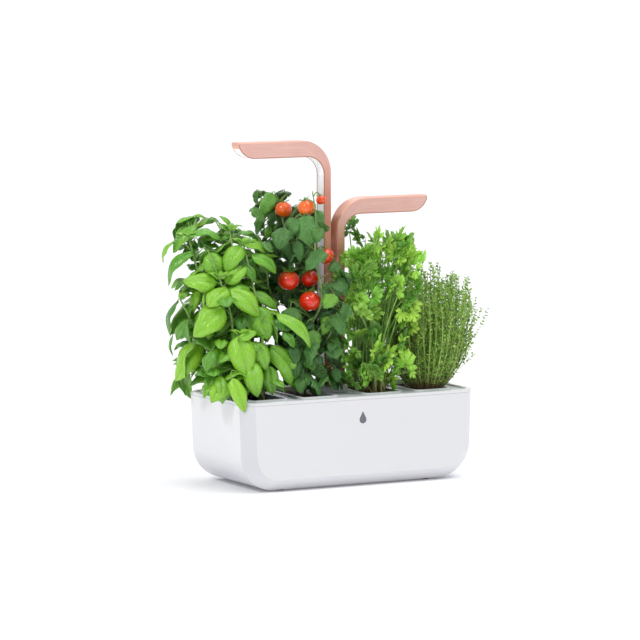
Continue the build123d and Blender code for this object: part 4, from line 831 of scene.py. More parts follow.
def growBasil():
    chance = np.random.default_rng(basil["seed"])
    paths = stemPaths("basil", basilStems)
    base, tip, width, bright, warm = shownLeaves("basil", basilLeaves)
    facing = toViewer + upward + chance.normal(0, 0.16, base.shape)
    facing[base[:, 1] > 0.02, 1] *= 0.2
    clear = [(np.concatenate([base * (1 - t) + tip * t for t in (0.3, 0.5, 0.72)]), basil["clearOff"])]
    # twins of the shown leaves on the far side, where the plant can't be seen in front, made darker as
    # painted shade
    jitter = chance.normal(0, 0.003, base.shape)
    keep = base[:, 1] < 0.02
    groups = [(base, tip, facing, width, bright, warm),
              ((base * mirrored + jitter)[keep], (tip * mirrored + jitter)[keep], (facing * mirrored)[keep],
               width[keep], bright[keep] * 0.8, warm[keep] * 0.9)]
    # leaves in pairs up the stems
    foot, way, size = opposedPairs(paths, basil, chance)
    pairBase = foot + way * basil["stalk"]
    length = basil["leafLength"] * size
    droop = chance.uniform(0.15, 0.6, len(length))
    pairTip = pairBase + unit(way * [1, 1, 0.4]) * length[:, None] - upward * (length * droop * 0.7)[:, None]
    pairFacing = upward + way * 0.35 + chance.normal(0, 0.15, way.shape)
    samples = np.stack([pairBase, (pairBase + pairTip) / 2, pairTip], 1)
    fit = fits("basil", samples, basil["outline"], clear=clear)
    # small leaves about each shoot's tip
    ends = paths[:, -1]
    turn = np.arange(6) * goldenTurn
    crownWay = polar(turn, 0.75, 0.35 + 0.1 * np.arange(6))
    crownBase = (ends[:, None] + crownWay * 0.002).reshape(-1, 3)
    crownTip = crownBase + np.tile(crownWay * np.linspace(0.026, 0.014, 6)[:, None], (len(ends), 1))
    crownFacing = upward + np.tile(crownWay, (len(ends), 1)) * 0.2
    crownFit = clearOfLamps(np.stack([crownBase, crownTip], 1), "basil")
    crown = crownFit.sum()
    fill = scatterLeaves("basil", basil, clear, chance)
    groups.append((pairBase[fit], pairTip[fit], pairFacing[fit],
                   *draws(chance, fit.sum(), (0.62, 0.82), (0.2, 0.75), (0.25, 0.65))))
    width, bright, warm = draws(chance, len(fill[0]), (0.6, 0.85), (0.15, 0.75), (0.2, 0.75))
    # painted shade: the fill leaves darker near the plant's middle
    groups.append((*fill, width, bright * paintedInnerShade("basil", fill[0]), warm))
    groups.append((crownBase[crownFit], crownTip[crownFit], crownFacing[crownFit], np.full(crown, 0.55),
                   *draws(chance, crown, (0.6, 0.9), (0.5, 0.8))))
    base, tip = makeLeaves("basil", groups, basil["thickness"], chance)
    makeStems("basil", tubes(paths, np.linspace(1.25, 0.6, 40) * basil["stemRadius"], 8),
              petioles(paths, base, unit(tip - base), 0.0008, 0.5))
    print("basil:", len(base), "leaves")


growBasil()

# tomato
tomatoStems = np.array([
    [(314, 397, -.20), (317, 359, -.28), (306, 333, -.16), (296, 300, .24), (287, 240, .24),
     (279, 203, .34)],
    [(306, 333, -.16), (322, 300, -.44), (316, 262, -.46), (316, 230, -.46), (316, 214, -.52),
     (313, 193, -.42)],
    [(296, 300, .24), (284, 286, .40), (272, 272, .54), (266, 240, .62), (263, 215, .68), (261, 190, .72)],
    [(317, 359, -.28), (324, 345, -.36), (332, 330, -.46), (337, 320, -.50), (341, 311, -.54),
     (344, 302, -.58)],
    [(306, 398, .10), (298, 360, .16), (286, 330, .22), (276, 305, .26), (270, 290, .30), (266, 276, .34)],
])
tomatoLeaves = [
    (273.0, 193.0, .34, 262.0, 216.0, .44, .56, .75, .45),
    (257.0, 190.0, .72, 256.0, 205.0, .76, .40, .40, .30),
    (262.2, 217.3, .66, 255.0, 234.6, .74, .50, .30, .45),
    (270.0, 226.0, .46, 267.0, 239.0, .50, .50, .70, .70),
    (304.6, 216.6, -.40, 309.2, 247.4, -.46, .70, .55, .15),
    (296.0, 219.0, -.34, 291.0, 236.0, -.38, .70, .50, .15),
    (317.0, 212.0, -.40, 323.0, 228.0, -.46, .60, .50, .15),
    (284.7, 240.5, .20, 290.8, 258.7, .12, .50, .35, .15),
    (297.0, 242.0, -.36, 301.0, 262.0, -.42, .50, .40, .15),
    (323.0, 250.0, -.50, 305.9, 268.9, -.56, .66, .45, .15),
    (259.2, 278.0, .68, 281.7, 293.3, .50, .50, .10, .10),
    (264.0, 250.0, .60, 280.0, 262.0, .50, .60, .30, .20),
    (340.7, 265.0, -.44, 329.0, 270.0, -.48, .80, .45, .15),
    (347.0, 304.3, -.60, 341.7, 322.2, -.66, .70, .45, .25),
    (315.0, 325.7, -.30, 328.0, 347.4, -.36, .60, .35, .20),
    (312.6, 362.6, -.36, 328.0, 378.0, -.46, .80, .40, .20),
    (335.2, 367.6, -.46, 338.0, 381.5, -.54, .80, .35, .20),
    (330.0, 316.0, -.46, 323.0, 334.0, -.52, .55, .65, .60),
    (297.0, 335.0, -.34, 306.0, 353.0, -.40, .60, .35, .20),
    (322.0, 285.0, -.44, 331.0, 299.0, -.50, .60, .40, .20),
]
# column, row, depth, size against the usual radius, ripeness
fruits = np.array([
    (284.0, 209.5, 0.30, 1.08, 0.32), (307.0, 208.5, -0.32, 1.1, 0.22), (321.5, 201.0, -0.28, 0.63, 0.55),
    (325.8, 256.5, -0.30, 1.05, 0.75), (289.0, 280.4, -0.06, 1.35, 0.85), (310.0, 278.7, -0.05, 1.12, 0.95),
    (310.0, 301.3, -0.30, 1.35, 0.85),
])
tomato = dict(compoundSpacing=0.017, rachis=0.060, leafletLength=0.034, ribRadius=0.0009, stemRadius=0.0019,
              thickness=0.0004, sepalThickness=0.0005, fruitRadius=0.0122, seed=23, fill=190,
              fillDepth=(-0.7, 0.85), fillRise=(-1.1, -0.1), fillLength=(0.024, 0.040), lean=0.0,
              reach=(-0.118, 0.012), leafletReach=(-0.125, 0.012), keepOff=15, clearOff=7)
tomato["outline"] = [
    (250, 190), (262, 182), (272, 188), (290, 188), (297, 200), (318, 197), (328, 205), (330, 240),
    (330, 258), (346, 262), (349, 300), (346, 340), (344, 392), (300, 396), (285, 390), (285, 300),
    (262, 300), (250, 275), (256, 245), (246, 232), (250, 212)]


def growTomato():
    chance = np.random.default_rng(tomato["seed"])
    paths = stemPaths("tomato", tomatoStems, [0, 4])
    base, tip, width, bright, warm = shownLeaves("tomato", tomatoLeaves)
    facing = toViewer + upward * 0.8 + chance.normal(0, 0.25, base.shape)
    middle = (base + tip) / 2
    keep = clearOfLamps(np.stack([base * mirrored, tip * mirrored], 1), "tomato")
    keep &= (base[:, 0] > tomato["reach"][0]) & (base[:, 1] < 0)
    # the shown leaves and their twins on the far side, the twins made darker as painted shade
    groups = [(base, tip, facing, width * 1.2, bright, warm),
              (*((a * mirrored)[keep] for a in (base, tip, facing)), (width * 1.2)[keep], bright[keep] * 0.9,
               warm[keep])]
    fruitPlaces = sightPlace("tomato", fruits[:, :3])
    fruitRadii = fruits[:, 3] * tomato["fruitRadius"]
    clear = [(fruitPlaces, tomato["keepOff"]), (middle, tomato["clearOff"])]
    # compound leaves: a drooping midrib with leaflets on both sides and one at its end
    foot, share = [], []
    for path, run in zip(paths, travelled(paths)):
        joints = np.arange(0.012, run[-1], tomato["compoundSpacing"])
        foot.append(pathPlaces(joints, run, path))
        share.append(joints / run[-1])
    foot, share = np.concatenate(foot), np.concatenate(share)
    count = len(foot)
    turn = np.arange(count) * goldenTurn + chance.normal(0, 0.3, count)
    reach = (tomato["rachis"] * chance.uniform(0.6, 1.1, count) * (1 - 0.4 * share**2))[:, None, None]
    out = polar(turn, 1.0, 0.0)
    t = np.linspace(0, 1, 8)[None, :, None]
    ribs = foot[:, None] + out[:, None] * reach * (t * 0.85) + upward * (reach * (0.55 * t - 0.95 * t**2))
    # leaflets at three places along each midrib
    at = np.array([3, 3, 5, 5, 7])
    side = np.array([-1, 1, -1, 1, 0])
    across = np.cross(out, upward)
    leafBase = ribs[:, at]
    ahead = unit(ribs[:, np.minimum(at, 6) + 1] - ribs[:, np.minimum(at, 6)])
    way = unit(ahead * 0.55 + across[:, None] * side[None, :, None] * 0.95 + np.array([0, 0, -0.35]))
    size = tomato["leafletLength"] * np.array([0.72, 0.72, 0.9, 0.9, 1.2])[None]
    leafTip = leafBase + way * (size * chance.uniform(0.75, 1.15, (count, 5)))[..., None]
    leafFacing = upward + way * 0.5 + chance.normal(0, 0.25, way.shape)
    samples = np.stack([leafBase, (leafBase + leafTip) / 2, leafTip], 2)
    fit = fits("tomato", samples, tomato["outline"], tomato["leafletReach"], clear)
    fit &= (clearOfLamps(ribs, "tomato") & clearOfTrays(ribs, "tomato", 0.002))[:, None]
    fit &= (np.linalg.norm(samples[..., None, :] - fruitPlaces, axis=-1) > fruitRadii + 0.003).all((-1, -2))
    fill = scatterLeaves("tomato", tomato, clear, chance)
    off = np.linalg.norm((fill[0] + fill[1])[:, None] / 2 - fruitPlaces, axis=-1) > fruitRadii + 0.014
    fill = [a[off.all(1)] for a in fill]
    width, bright, warm = draws(chance, len(fill[0]), (0.65, 0.95), (0.1, 0.6), (0.0, 0.5))
    # painted shade: the fill leaves darker near the plant's middle
    groups.append((*fill, width, bright * paintedInnerShade("tomato", fill[0]), warm))
    width, bright, warm = draws(chance, fit.sum(), (0.6, 0.9), (0.05, 0.6), (0.0, 0.5))
    warm += 0.3 * (chance.random(fit.sum()) > 0.85)
    groups.append((leafBase[fit], leafTip[fit], leafFacing[fit], width, bright, warm))
    base, tip = makeLeaves("tomato", groups, tomato["thickness"], chance)
    shown = len(middle) + keep.sum() + len(fill[0])
    makeStems("tomato", tubes(paths, np.linspace(1.2, 0.5, 40) * tomato["stemRadius"], 8),
              tubes(ribs[fit.any(1)], np.linspace(1.1, 0.5, 8) * tomato["ribRadius"], 5),
              petioles(paths, base[:shown], unit(tip - base)[:shown], 0.0008, 0.4))
    growFruits(chance, fruitPlaces, fruitRadii, paths)
    print("tomato:", len(base), "leaflets")


def growFruits(chance, places, radius, paths):
    # A fruit is a ball whose radius dips at the stalk with a narrow bell and swells in faint
    # ribs; each hangs from the stem on a bent stalk and carries five pointed sepals.
    count, ripe = len(places), fruits[:, 4]
    down = np.linspace(0.08, pi - 0.08, 22)[:, None]
    around = np.arange(28)[None, :] * 2 * pi / 28
    swell = 1 - 0.16 * np.exp(-((down / 0.32) ** 2)) - 0.05 * np.exp(-(((pi - down) / 0.3) ** 2))
    swell = swell + 0.012 * np.cos(5 * around) * np.sin(down) ** 2
    ball = polar(around, swell * np.sin(down), swell * np.cos(down) * 0.93) * mirrored
    lean = unit(upward + chance.normal(0, 0.22, (count, 3)) + np.array([-0.12, 0.1, 0]))
    sideways = unit(np.cross(lean, [0, 1.0, 0.2]))
    third = np.cross(lean, sideways)
    axes = np.stack([sideways, third, lean], 1)
    rings = places[:, None, None] + np.einsum("pqi,nij->npqj", ball, axes) * radius[:, None, None, None]
    points, faces = ringBodies(rings)
    ballUv = np.stack(np.broadcast_arrays(around / (2 * pi), down / pi), -1).reshape(-1, 2)
    uv = np.concatenate([np.tile(ballUv, (count, 1)), np.tile([[0.5, 0.0], [0.5, 1.0]], (count, 1))])
    tone = np.concatenate([np.repeat(ripe, len(ballUv)), np.repeat(ripe, 2)])[:, None]
    makePiece("tomatoFruits", "tomato", points, faces, [fruitFinish()], "fruit_red", ["tomato_fruits"],
              uv, tone)
    # sepals
    sepals = count * 5
    top = places + lean * (radius * 0.80)[:, None]
    turn = (np.arange(5) * 2 * pi / 5 + chance.uniform(0, 1, (count, 1)))[..., None]
    out = (sideways[:, None] * np.cos(turn) + third[:, None] * np.sin(turn)).reshape(-1, 3)
    base, facing = np.repeat(top, 5, 0), np.repeat(lean, 5, 0)
    size = np.repeat(radius, 5)[:, None] * chance.uniform(0.75, 1.0, (sepals, 1))
    tip = base + (out * 0.9 + facing * 0.32) * size
    width, arch = np.full(sepals, 0.24), np.full(sepals, 0.05)
    points, uv = leafSheets(leafShapes["sepal"], base, tip, facing, width, arch,
                            chance.normal(0, 0.6, sepals), chance.uniform(0, 1, sepals))
    coats = [bpy.data.materials[name] for name in ("tomatoLeaf", "tomatoLeafUnder")]
    makePiece("tomatoSepals", "tomato", points, [gridFaces(points)], coats, uv=uv,
              tone=np.array([0.75, 0.8, 0.5]), thickness=tomato["sepalThickness"])
    points, faces = petioles(paths, top, -lean, 0.0009, 0.0)
    makePiece("fruitStalks", "tomato", points, faces, [bpy.data.materials["tomatoStem"]])


growTomato()

# parsley
# base column, row, depth and tip column, row, depth of the heads in front
parsleyHeads = [
    (350.0, 232.0, .26, 353.0, 220.0, .30), (366.0, 241.0, .28, 356.0, 232.0, .32),
    (381.0, 246.0, .30, 371.0, 236.0, .36), (391.0, 250.0, -.58, 402.0, 235.0, -.66),
    (401.0, 259.0, -.66, 407.0, 243.0, -.76), (372.0, 260.0, -.30, 376.0, 245.0, -.34),
    (411.0, 270.0, -.82, 422.0, 257.0, -.90), (384.0, 257.0, .32, 389.0, 242.0, .36),
    (363.0, 276.0, -.34, 370.0, 261.0, -.40), (367.0, 296.0, -.52, 378.0, 282.0, -.60),
    (355.0, 307.0, -.50, 363.0, 294.0, -.58), (401.0, 302.0, -.74, 414.0, 297.0, -.82),
    (405.0, 306.0, -.76, 414.0, 318.0, -.84), (355.0, 295.0, -.34, 345.0, 286.0, -.30),
    (378.0, 281.0, -.44, 391.0, 269.0, -.50), (404.0, 350.0, -.70, 400.0, 338.0, -.74),
    (404.0, 373.0, -.80, 406.0, 358.0, -.86), (380.0, 363.0, -.62, 391.0, 350.0, -.68),
    (361.0, 381.0, -.56, 362.0, 368.0, -.60), (351.0, 263.0, -.32, 353.0, 250.0, -.36),
    (352.0, 385.0, -.40, 345.0, 374.0, -.44), (353.0, 353.0, -.36, 345.0, 341.0, -.40),
    (352.0, 331.0, -.36, 343.0, 322.0, -.40), (348.0, 312.0, -.34, 338.0, 306.0, -.38),
    (346.0, 284.0, -.34, 336.0, 276.0, -.38), (350.0, 368.0, -.38, 343.0, 356.0, -.42),
]
parsley = dict(heads=82, headLength=0.022, leaflet=0.0190, petiole=0.0010, twig=0.0005, thickness=0.00035,
               seed=31, crown=(0.023, 0.050), reach=(-0.003, 0.120))
parsley["outline"] = [
    (350, 246), (362, 242), (372, 232), (380, 232), (392, 226), (410, 226), (420, 248), (434, 262),
    (430, 285), (418, 300), (420, 325), (412, 345), (418, 375), (404, 392), (352, 394), (341, 385),
    (345, 340), (341, 318), (330, 300), (334, 268), (346, 262)]


def fanned(ahead, across, degrees):
    # directions turned from ahead towards across, one for each of the degrees
    turn = np.radians(degrees)[:, None]
    return ahead[..., None, :] * np.cos(turn) + across[..., None, :] * np.sin(turn)


def growParsley():
    chance = np.random.default_rng(parsley["seed"])
    headBase, headTip = shownLeaves("parsley", parsleyHeads)
    # further heads, kept where they fit the plant's outline
    tries = 4000
    column = chance.uniform(330, 434, tries)
    row = 222 + 168 * chance.random(tries) ** 1.7
    more = sightPlace("parsley", np.stack([column, row, chance.uniform(-0.75, 0.85, tries)], -1))
    outward = unit((more - np.array([slotPlaces["parsley"], 0, 0])) * [1, 1, 0])
    outward = outward * chance.uniform(0.3, 1.0, (tries, 1))
    tip = more + unit(outward + upward * 0.7) * parsley["headLength"]
    samples = np.stack([more, tip, tip + [0.008, 0, 0], tip - [0.008, 0, 0]], 1)
    fit = fits("parsley", samples, parsley["outline"], parsley["reach"])
    chosen = np.flatnonzero(fit)[:parsley["heads"]]
    heads = np.concatenate([headBase, more[chosen]])
    tips = np.concatenate([headTip, tip[chosen]])
    # petioles from a tight crown: out low, then up, fanning to each head
    turn = chance.uniform(0, 2 * pi, len(heads))
    spread = np.sqrt(chance.random(len(heads)))
    foot = np.stack([slotPlaces["parsley"] + parsley["crown"][0] * spread * np.cos(turn),
                     parsley["crown"][1] * spread * np.sin(turn) - 0.012,
                     np.full(len(heads), planter["soilTop"] - 0.003)], -1)
    petiole = bowed(foot, foot + (heads - foot) * np.array([0.25, 0.25, 0.62]), heads, 12)
    ok = clearOfLamps(np.maximum(petiole, [-1, -1, 0.143]), "parsley")
    heads, tips, petiole = heads[ok], tips[ok], petiole[ok]
    count = len(heads)
    # each head: three branches of three leaflets
    ahead = unit(tips - heads)
    face = unit(toViewer * 0.6 + upward + chance.normal(0, 0.3, heads.shape))
    face[heads[:, 1] > 0.02] *= mirrored
    normal, across = leafAxes(ahead, face)
    scale = (np.linalg.norm(tips - heads, axis=-1) / parsley["headLength"])[:, None, None]
    branchWay = fanned(ahead, across, [0, -62, 62])
    branchLength = (np.array([0.55, 0.42, 0.42]) * parsley["leaflet"] * 1.1)[:, None]
    fork = heads[:, None] + branchWay * branchLength * scale
    way = fanned(branchWay, np.cross(normal[:, None], branchWay), [-70, 0, 70])
    way = unit(way + chance.normal(0, 0.12, way.shape))
    size = parsley["leaflet"] * np.array([0.78, 1.0, 0.78]) * np.array([1.1, 0.92, 0.92])[:, None]
    size = size[None] * scale * chance.uniform(0.8, 1.15, (count, 3, 3))
    leafBase = fork[:, :, None] + way * 0.0012
    leafTip = leafBase + way * size[..., None]
    facing = normal[:, None, None] + chance.normal(0, 0.3, way.shape)
    bright = np.clip(np.repeat(chance.uniform(0.0, 1.1, count), 9) + chance.normal(0, 0.12, count * 9), 0, 1)
    warm = np.clip(np.repeat(chance.uniform(0.2, 0.8, count), 9) + chance.normal(0, 0.08, count * 9), 0, 1)
    leafBase, leafTip, facing = (a.reshape(-1, 3) for a in (leafBase, leafTip, facing))
    ends = np.stack([leafBase, leafTip], 1)
    safe = clearOfLamps(ends, "parsley") & clearOfTrays(ends, "parsley", 0.005)
    n = safe.sum()
    sheets = fanSheets(leafShapes["parsley"], leafBase[safe], leafTip[safe], facing[safe],
                       chance.uniform(0.42, 0.55, n), chance.normal(0.05, 0.05, n), chance.random(n))
    leafPiece("parsley", sheets, bright[safe], warm[safe], chance.random(n), parsley["thickness"])
    firstWider = np.where(np.arange(count) < 14, 1.4, 1.0)[:, None]
    t = np.linspace(0, 1, 4)[None, None, :, None]
    twigs = (heads[:, None, None] * (1 - t) + fork[:, :, None] * t).reshape(-1, 4, 3)
    makeStems("parsley", tubes(petiole, np.linspace(1.6, 0.6, 12) * parsley["petiole"] * firstWider, 6),
              tubes(twigs, parsley["twig"], 5))
    print("parsley:", n, "leaflets on", count, "petioles")


growParsley()

# thyme
thyme = dict(sprigs=130, length=0.200, reach=0.074, depth=0.064, leftShare=0.57, offset=(0.002, -0.018),
             crown=(0.003, -0.040, 0.011), spacing=0.0054, leaf=0.0064, leafWidth=0.30, stem=0.0008, shoots=4,
             shootLength=(0.018, 0.042), shootRadius=0.0004, seed=43, x=0.250, y=(-0.099, 0.096),
             leafX=0.255)


def leafyTwigs(paths, first, spacing, size, chance):
    # tiny leaves in crossed pairs along each path: their bases, tips and tones
    run = travelled(paths)
    joints = np.arange(first, run[:, -1].max(), spacing)
    place = np.stack([pathPlaces(joints, length, line) for line, length in zip(paths, run)])
    live = joints[None] < run[:, -1:]
    ahead = unit(np.gradient(place, axis=1) + [0, 0, 1e-7])
    turn = (np.arange(len(joints)) * pi / 2 + chance.uniform(0, 6, (len(paths), 1)))[..., None]
    guide = unit(np.cross(ahead, np.array([0.2, 1.0, 0.1])))
    other = np.cross(ahead, guide)
    leaves = []
    for half in (0, pi):
        outward = guide * np.cos(turn + half) + other * np.sin(turn + half)
        way = unit(outward * 0.8 + ahead * 0.6 + chance.normal(0, 0.22, ahead.shape))
        long = size * chance.uniform(0.6, 1.25, live.shape)
        tone = [*draws(chance, live.shape, (0.1, 1.0), (0.1, 0.9)), chance.random(live.shape)]
        leaves.append((place[live], (place + way * long[..., None])[live], np.stack(tone, -1)[live]))
    return [np.concatenate(part) for part in zip(*leaves)]


def growThyme():
    # Sprigs leave one crown, lean out at once and then curve upward: along each, the distance
    # out is 1 less a power of 1 - t and the height a power of t. Side shoots leave them and
    # curve up too; the lens-shaped leaves are closed bodies of eight faces.
    chance = np.random.default_rng(thyme["seed"])
    n = thyme["sprigs"]
    order = np.arange(n)
    turn = order * goldenTurn
    share = np.sqrt((order + 0.5) / n)
    leftward = np.where(np.cos(turn) < 0, thyme["leftShare"], 1.0)
    crownX, crownY, crownRadius = thyme["crown"]
    out = np.stack([np.cos(turn) * share * thyme["reach"] * leftward + thyme["offset"][0],
                    np.sin(turn) * share * thyme["depth"] + thyme["offset"][1] - crownY], -1)
    height = thyme["length"] * (1 - 0.20 * share**2.5) * chance.uniform(0.70, 1.04, n)
    foot = np.array([slotPlaces["thyme"] + crownX, crownY, planter["soilTop"] - 0.003])
    foot = foot + polar(turn, share, 0.0) * crownRadius
    t = np.linspace(0, 1, 22)[None, :]
    go = 1 - (1 - t) ** 2.5
    wiggle = chance.uniform(0.002, 0.006, (n, 1)) * np.sin(t * 5 + chance.uniform(0, 6, (n, 1))) * t
    path = np.stack([foot[:, :1] + out[:, :1] * go + wiggle, foot[:, 1:2] + out[:, 1:] * go + wiggle * 0.6,
                     foot[:, 2:] + height[:, None] * t**1.25], -1)
    path[..., 0] = np.minimum(path[..., 0], thyme["x"])
    path[..., 1] = np.clip(path[..., 1], *thyme["y"])
    # side shoots
    k = thyme["shoots"]
    at = (chance.uniform(0.25, 0.95, (n, k)) * 20).astype(int)
    start = path[order[:, None], at].reshape(-1, 3)
    ahead = unit(path[order[:, None], at + 1].reshape(-1, 3) - start)
    away = unit(chance.normal(0, 1, start.shape) * [1, 1, 0.2])
    long = chance.uniform(*thyme["shootLength"], (n * k, 1))[:, None]
    s = np.linspace(0, 1, 7)[None, :, None]
    shoots = start[:, None] + (ahead[:, None] * 0.8 + upward * 0.35) * long * s
    shoots = shoots + away[:, None] * long * 0.5 * (1 - (1 - s) ** 2)
    shoots = shoots[clearOfLamps(shoots, "thyme") & clearOfTrays(shoots, "thyme", 0.005)]
    groups = [leafyTwigs(path, 0.022, thyme["spacing"], thyme["leaf"], chance),
              leafyTwigs(shoots, 0.004, thyme["spacing"] * 0.9, thyme["leaf"] * 0.92, chance)]
    base, tip, mark = (np.concatenate(part) for part in zip(*groups))
    ends = np.stack([base, tip], 1)
    ok = clearOfLamps(ends, "thyme") & clearOfTrays(ends, "thyme", 0.005) & (tip[:, 0] < thyme["leafX"])
    base, tip, mark = base[ok], tip[ok], mark[ok]
    along = unit(tip - base)
    length = np.linalg.norm(tip - base, axis=-1)[:, None]
    normal, across = leafAxes(along, unit(upward + toViewer * 0.4 + chance.normal(0, 0.5, base.shape)))
    middle = base + along * length * 0.5
    wide = across * (length * thyme["leafWidth"])
    corners = np.stack([base, tip, middle + wide, middle - wide, middle + normal * length * 0.06,
                        middle - normal * length * 0.02], 1)
    uv = np.array([(0, .5), (1, .5), (.5, 0), (.5, 1), (.5, .5), (.5, .5)])
    makePiece("thymeLeaves", "thyme", corners, [knobFaces(len(base))[:, ::-1]],
              [leafFinish("thymeLeaf", leafLooks["thyme"])], replaced=["thyme_plant"],
              uv=uv, tone=mark[:, None])
    makeStems("thyme", tubes(path, np.linspace(1.5, 0.6, 22) * thyme["stem"], 5),
              tubes(shoots, thyme["shootRadius"], 4))
    print("thyme:", len(base), "leaves on", n, "sprigs and", len(shoots), "shoots")


growThyme()

# soil in each tray, and the wicks below it
soil = dict(swell=0.0022, highest=0.1352, crumbs=260, crumbSize=(0.0008, 0.0022), seed=5)


def layHeap(plant, chance):
    # A closed heap: seen from above its rings are rounded oblongs that grow from the middle to
    # the tray's wall; the height is a few long waves, and below the edge the rings go down the
    # wall and in again under the heap. Crumbs lie on it.
    low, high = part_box(f"{plant}_substrate")
    halfX, halfY = (high.x - low.x) / 2 - 0.0002, (high.y - low.y) / 2 - 0.0002
    middle = np.array([(high.x + low.x) / 2, (high.y + low.y) / 2, 0])
    angle = np.arange(96) * 2 * pi / 96
    rim = (np.abs(np.cos(angle) / halfX) ** 7 + np.abs(np.sin(angle) / halfY) ** 7) ** (-1 / 7)
    topRings = 30
    share = np.concatenate([np.linspace(0.02, 1, topRings), [1, 0.97, 0.5, 0.02]])[:, None]
    rings = polar(angle, share * rim, 0.0) + middle
    x, y = rings[..., 0], rings[..., 1]
    waves = sum(np.sin(x * a + y * b + c) for a, b, c in chance.uniform(-260, 260, (9, 3))) / 9
    top = high.z - 0.0012 + soil["swell"] * (waves * 0.9 + chance.normal(0, 1, x.shape) * 0.18)
    rings[..., 2] = low.z + 0.0005
    rings[:topRings, :, 2] = np.minimum(top, soil["highest"])[:topRings]
    rings[topRings, :, 2] = high.z - 0.004
    heap = ringBodies(rings[::-1][None])
    count = soil["crumbs"]
    along, across = chance.uniform(-0.9, 0.9, count) * halfX, chance.uniform(-0.94, 0.94, count) * halfY
    place = np.stack([along, across, np.full(count, high.z - 0.0004)], -1) + middle
    size = chance.uniform(*soil["crumbSize"], count)[:, None, None]
    knobs = np.array([(1, 0, 0), (-1, 0, 0), (0, 1, 0), (0, -1, 0), (0, 0, 1), (0, 0, -1)], float)
    crumb = place[:, None] + knobs[None] * size * chance.uniform(0.5, 1.0, (count, 6, 1))
    crumb = crumb + chance.normal(0, 0.0002, (count, 6, 3))
    points, faces = joinBodies([heap, (crumb.reshape(-1, 3), [knobFaces(count)])])
    makePiece(f"{plant}Soil", plant, points, faces, [soilMaterial], "substrate_brown", [f"{plant}_substrate"],
              crease=50)


def twistWick(plant):
    # a felt cord of three strands: the radius rises and falls three times round, turning with height
    low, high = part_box(f"{plant}_wick")
    height = np.linspace(low.z, high.z, 60)[:, None]
    around = np.arange(18)[None] * 2 * pi / 18
    reach = (high.x - low.x) / 2 * (0.86 + 0.12 * np.abs(np.cos(1.5 * (around + height * 260))))
    middle = np.array([(low.x + high.x) / 2, (low.y + high.y) / 2, 0])
    points, faces = ringBodies((polar(around, reach, height) + middle)[None])
    makePiece(f"{plant}Wick", plant, points, faces, [wickMaterial], "wick_felt", [f"{plant}_wick"], crease=60)


soilMaterial, wickMaterial = soilFinish(), feltFinish()
soilChance = np.random.default_rng(soil["seed"])
for plant in slotPlaces:
    layHeap(plant, soilChance)
    twistWick(plant)
print("soil and wicks")

# floor, light and camera
# each of the lights: place, size, power and colour
studio = dict(world=0.48, sky=(0.97, 0.98, 1.0, 1), sun=1.50, sunSpread=55, sunPlace=(0.20, -0.36, 1.2),
              aim=(0, 0, 0.25), floorGlow=0.07, lights=dict(
                  keyLight=((-2.2, -0.9, 2.0), 0.45, 23, (1.0, 0.99, 0.97)),
                  frontLight=((0.9, -2.6, 1.75), 1.0, 1, (1, 1, 1)),
                  backLight=((0.8, 1.8, 1.8), 0.8, 5, (1, 1, 1))))
cameraView = dict(turn=27.81, tilt=5.87, roll=-0.19, distance=6.194, lens=227.3, sensor=36, farthest=50,
                  target=(-0.019, 0.0, 0.2465))
paperSheet = dict(front=-14.0, level=3.5, bend=2.5, rise=7.0, frontRise=3.3, halfWidth=16, grid=(90, 13))


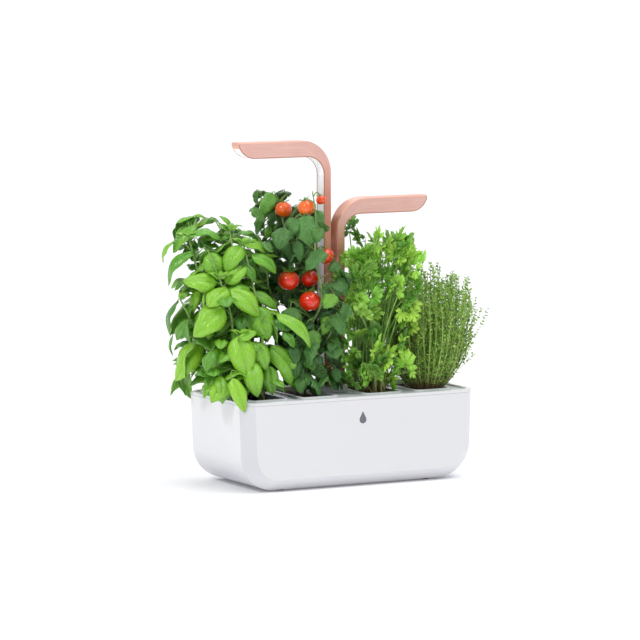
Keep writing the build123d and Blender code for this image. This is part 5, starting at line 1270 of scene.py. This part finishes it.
def studioFloor():
    # a pale sheet, level under the planter: it curves up high behind it and a little far in front
    front, level, bend = (paperSheet[k] for k in ("front", "level", "bend"))
    rows, columns = paperSheet["grid"]
    t = np.linspace(0, 1, rows)[:, None]
    across = np.linspace(-paperSheet["halfWidth"], paperSheet["halfWidth"], columns)[None]
    start = front - paperSheet["frontRise"]
    run = start + t * (level - start + bend * pi / 2 + paperSheet["rise"])
    past = run - np.clip(run, front, level)
    angle = np.clip(np.abs(past) / bend, 0, pi / 2)
    back = run - past + np.sign(past) * bend * np.sin(angle)
    up = bend * (1 - np.cos(angle)) + np.maximum(np.abs(past) - bend * pi / 2, 0)
    turn = radians(cameraView["turn"])
    x = across * cos(turn) + back * sin(turn)
    y = -across * sin(turn) + back * cos(turn)
    points = np.stack([x, y, np.broadcast_to(up, x.shape)], -1)
    mesh = bpy.data.meshes.new("studioFloor")
    mesh.from_pydata(points.reshape(-1, 3).tolist(), [], gridFaces(points[None])[:, ::-1].tolist())
    mesh.shade_smooth()
    finish = Finish("paperFloor", Emission_Color=(1, 1, 1, 1), Emission_Strength=studio["floorGlow"])
    paper = finish.noise(3, 2).blend(rgb(251, 251, 252), rgb(253, 253, 254))
    mesh.materials.append(finish.cover(paper, 0.85 + finish.noise(200, 2) * 0.1))
    floor = bpy.data.objects.new("studioFloor", mesh)
    scene.collection.objects.link(floor)


def addLight(name, kind, place, aim, **settings):
    light = bpy.data.lights.new(name, kind)
    for key, value in settings.items():
        setattr(light, key, value)
    lamp = bpy.data.objects.new(name, light)
    lamp.location = place
    lamp.rotation_euler = (Vector(aim) - Vector(place)).to_track_quat("-Z", "Y").to_euler()
    scene.collection.objects.link(lamp)


def lightStudio():
    # an even, very soft light from overhead, the same all over the floor, and three round lights
    world = bpy.data.worlds.new("studioSky")
    scene.world = world
    world.use_nodes = True
    background = world.node_tree.nodes["Background"].inputs
    background["Color"].default_value = studio["sky"]
    background["Strength"].default_value = studio["world"]
    addLight("overheadLight", "SUN", studio["sunPlace"], (0, 0, 0), energy=studio["sun"],
             angle=radians(studio["sunSpread"]))
    for name, (place, size, power, colour) in studio["lights"].items():
        addLight(name, "AREA", place, studio["aim"], shape="DISK", size=size, energy=power, color=colour)


def placeCamera(view):
    turn, tilt, roll = (radians(view[k]) for k in ("turn", "tilt", "roll"))
    back = Vector((-sin(turn) * cos(tilt), -cos(turn) * cos(tilt), sin(tilt)))
    right = Vector((cos(turn), -sin(turn), 0))
    up = back.cross(right)
    right, up = right * cos(roll) + up * sin(roll), up * cos(roll) - right * sin(roll)
    camera = bpy.data.objects.new("photoCamera", bpy.data.cameras.new("photoCamera"))
    camera.data.lens, camera.data.sensor_width = view["lens"], view["sensor"]
    camera.data.clip_end = view["farthest"]
    axes = Matrix((right, up, back)).transposed().to_4x4()
    camera.matrix_world = Matrix.Translation(Vector(view["target"]) + back * view["distance"]) @ axes
    scene.collection.objects.link(camera)
    scene.camera = camera


studioFloor()
lightStudio()
placeCamera(cameraView)
scene.view_settings.view_transform = "Standard"
print("floor, light and camera set")
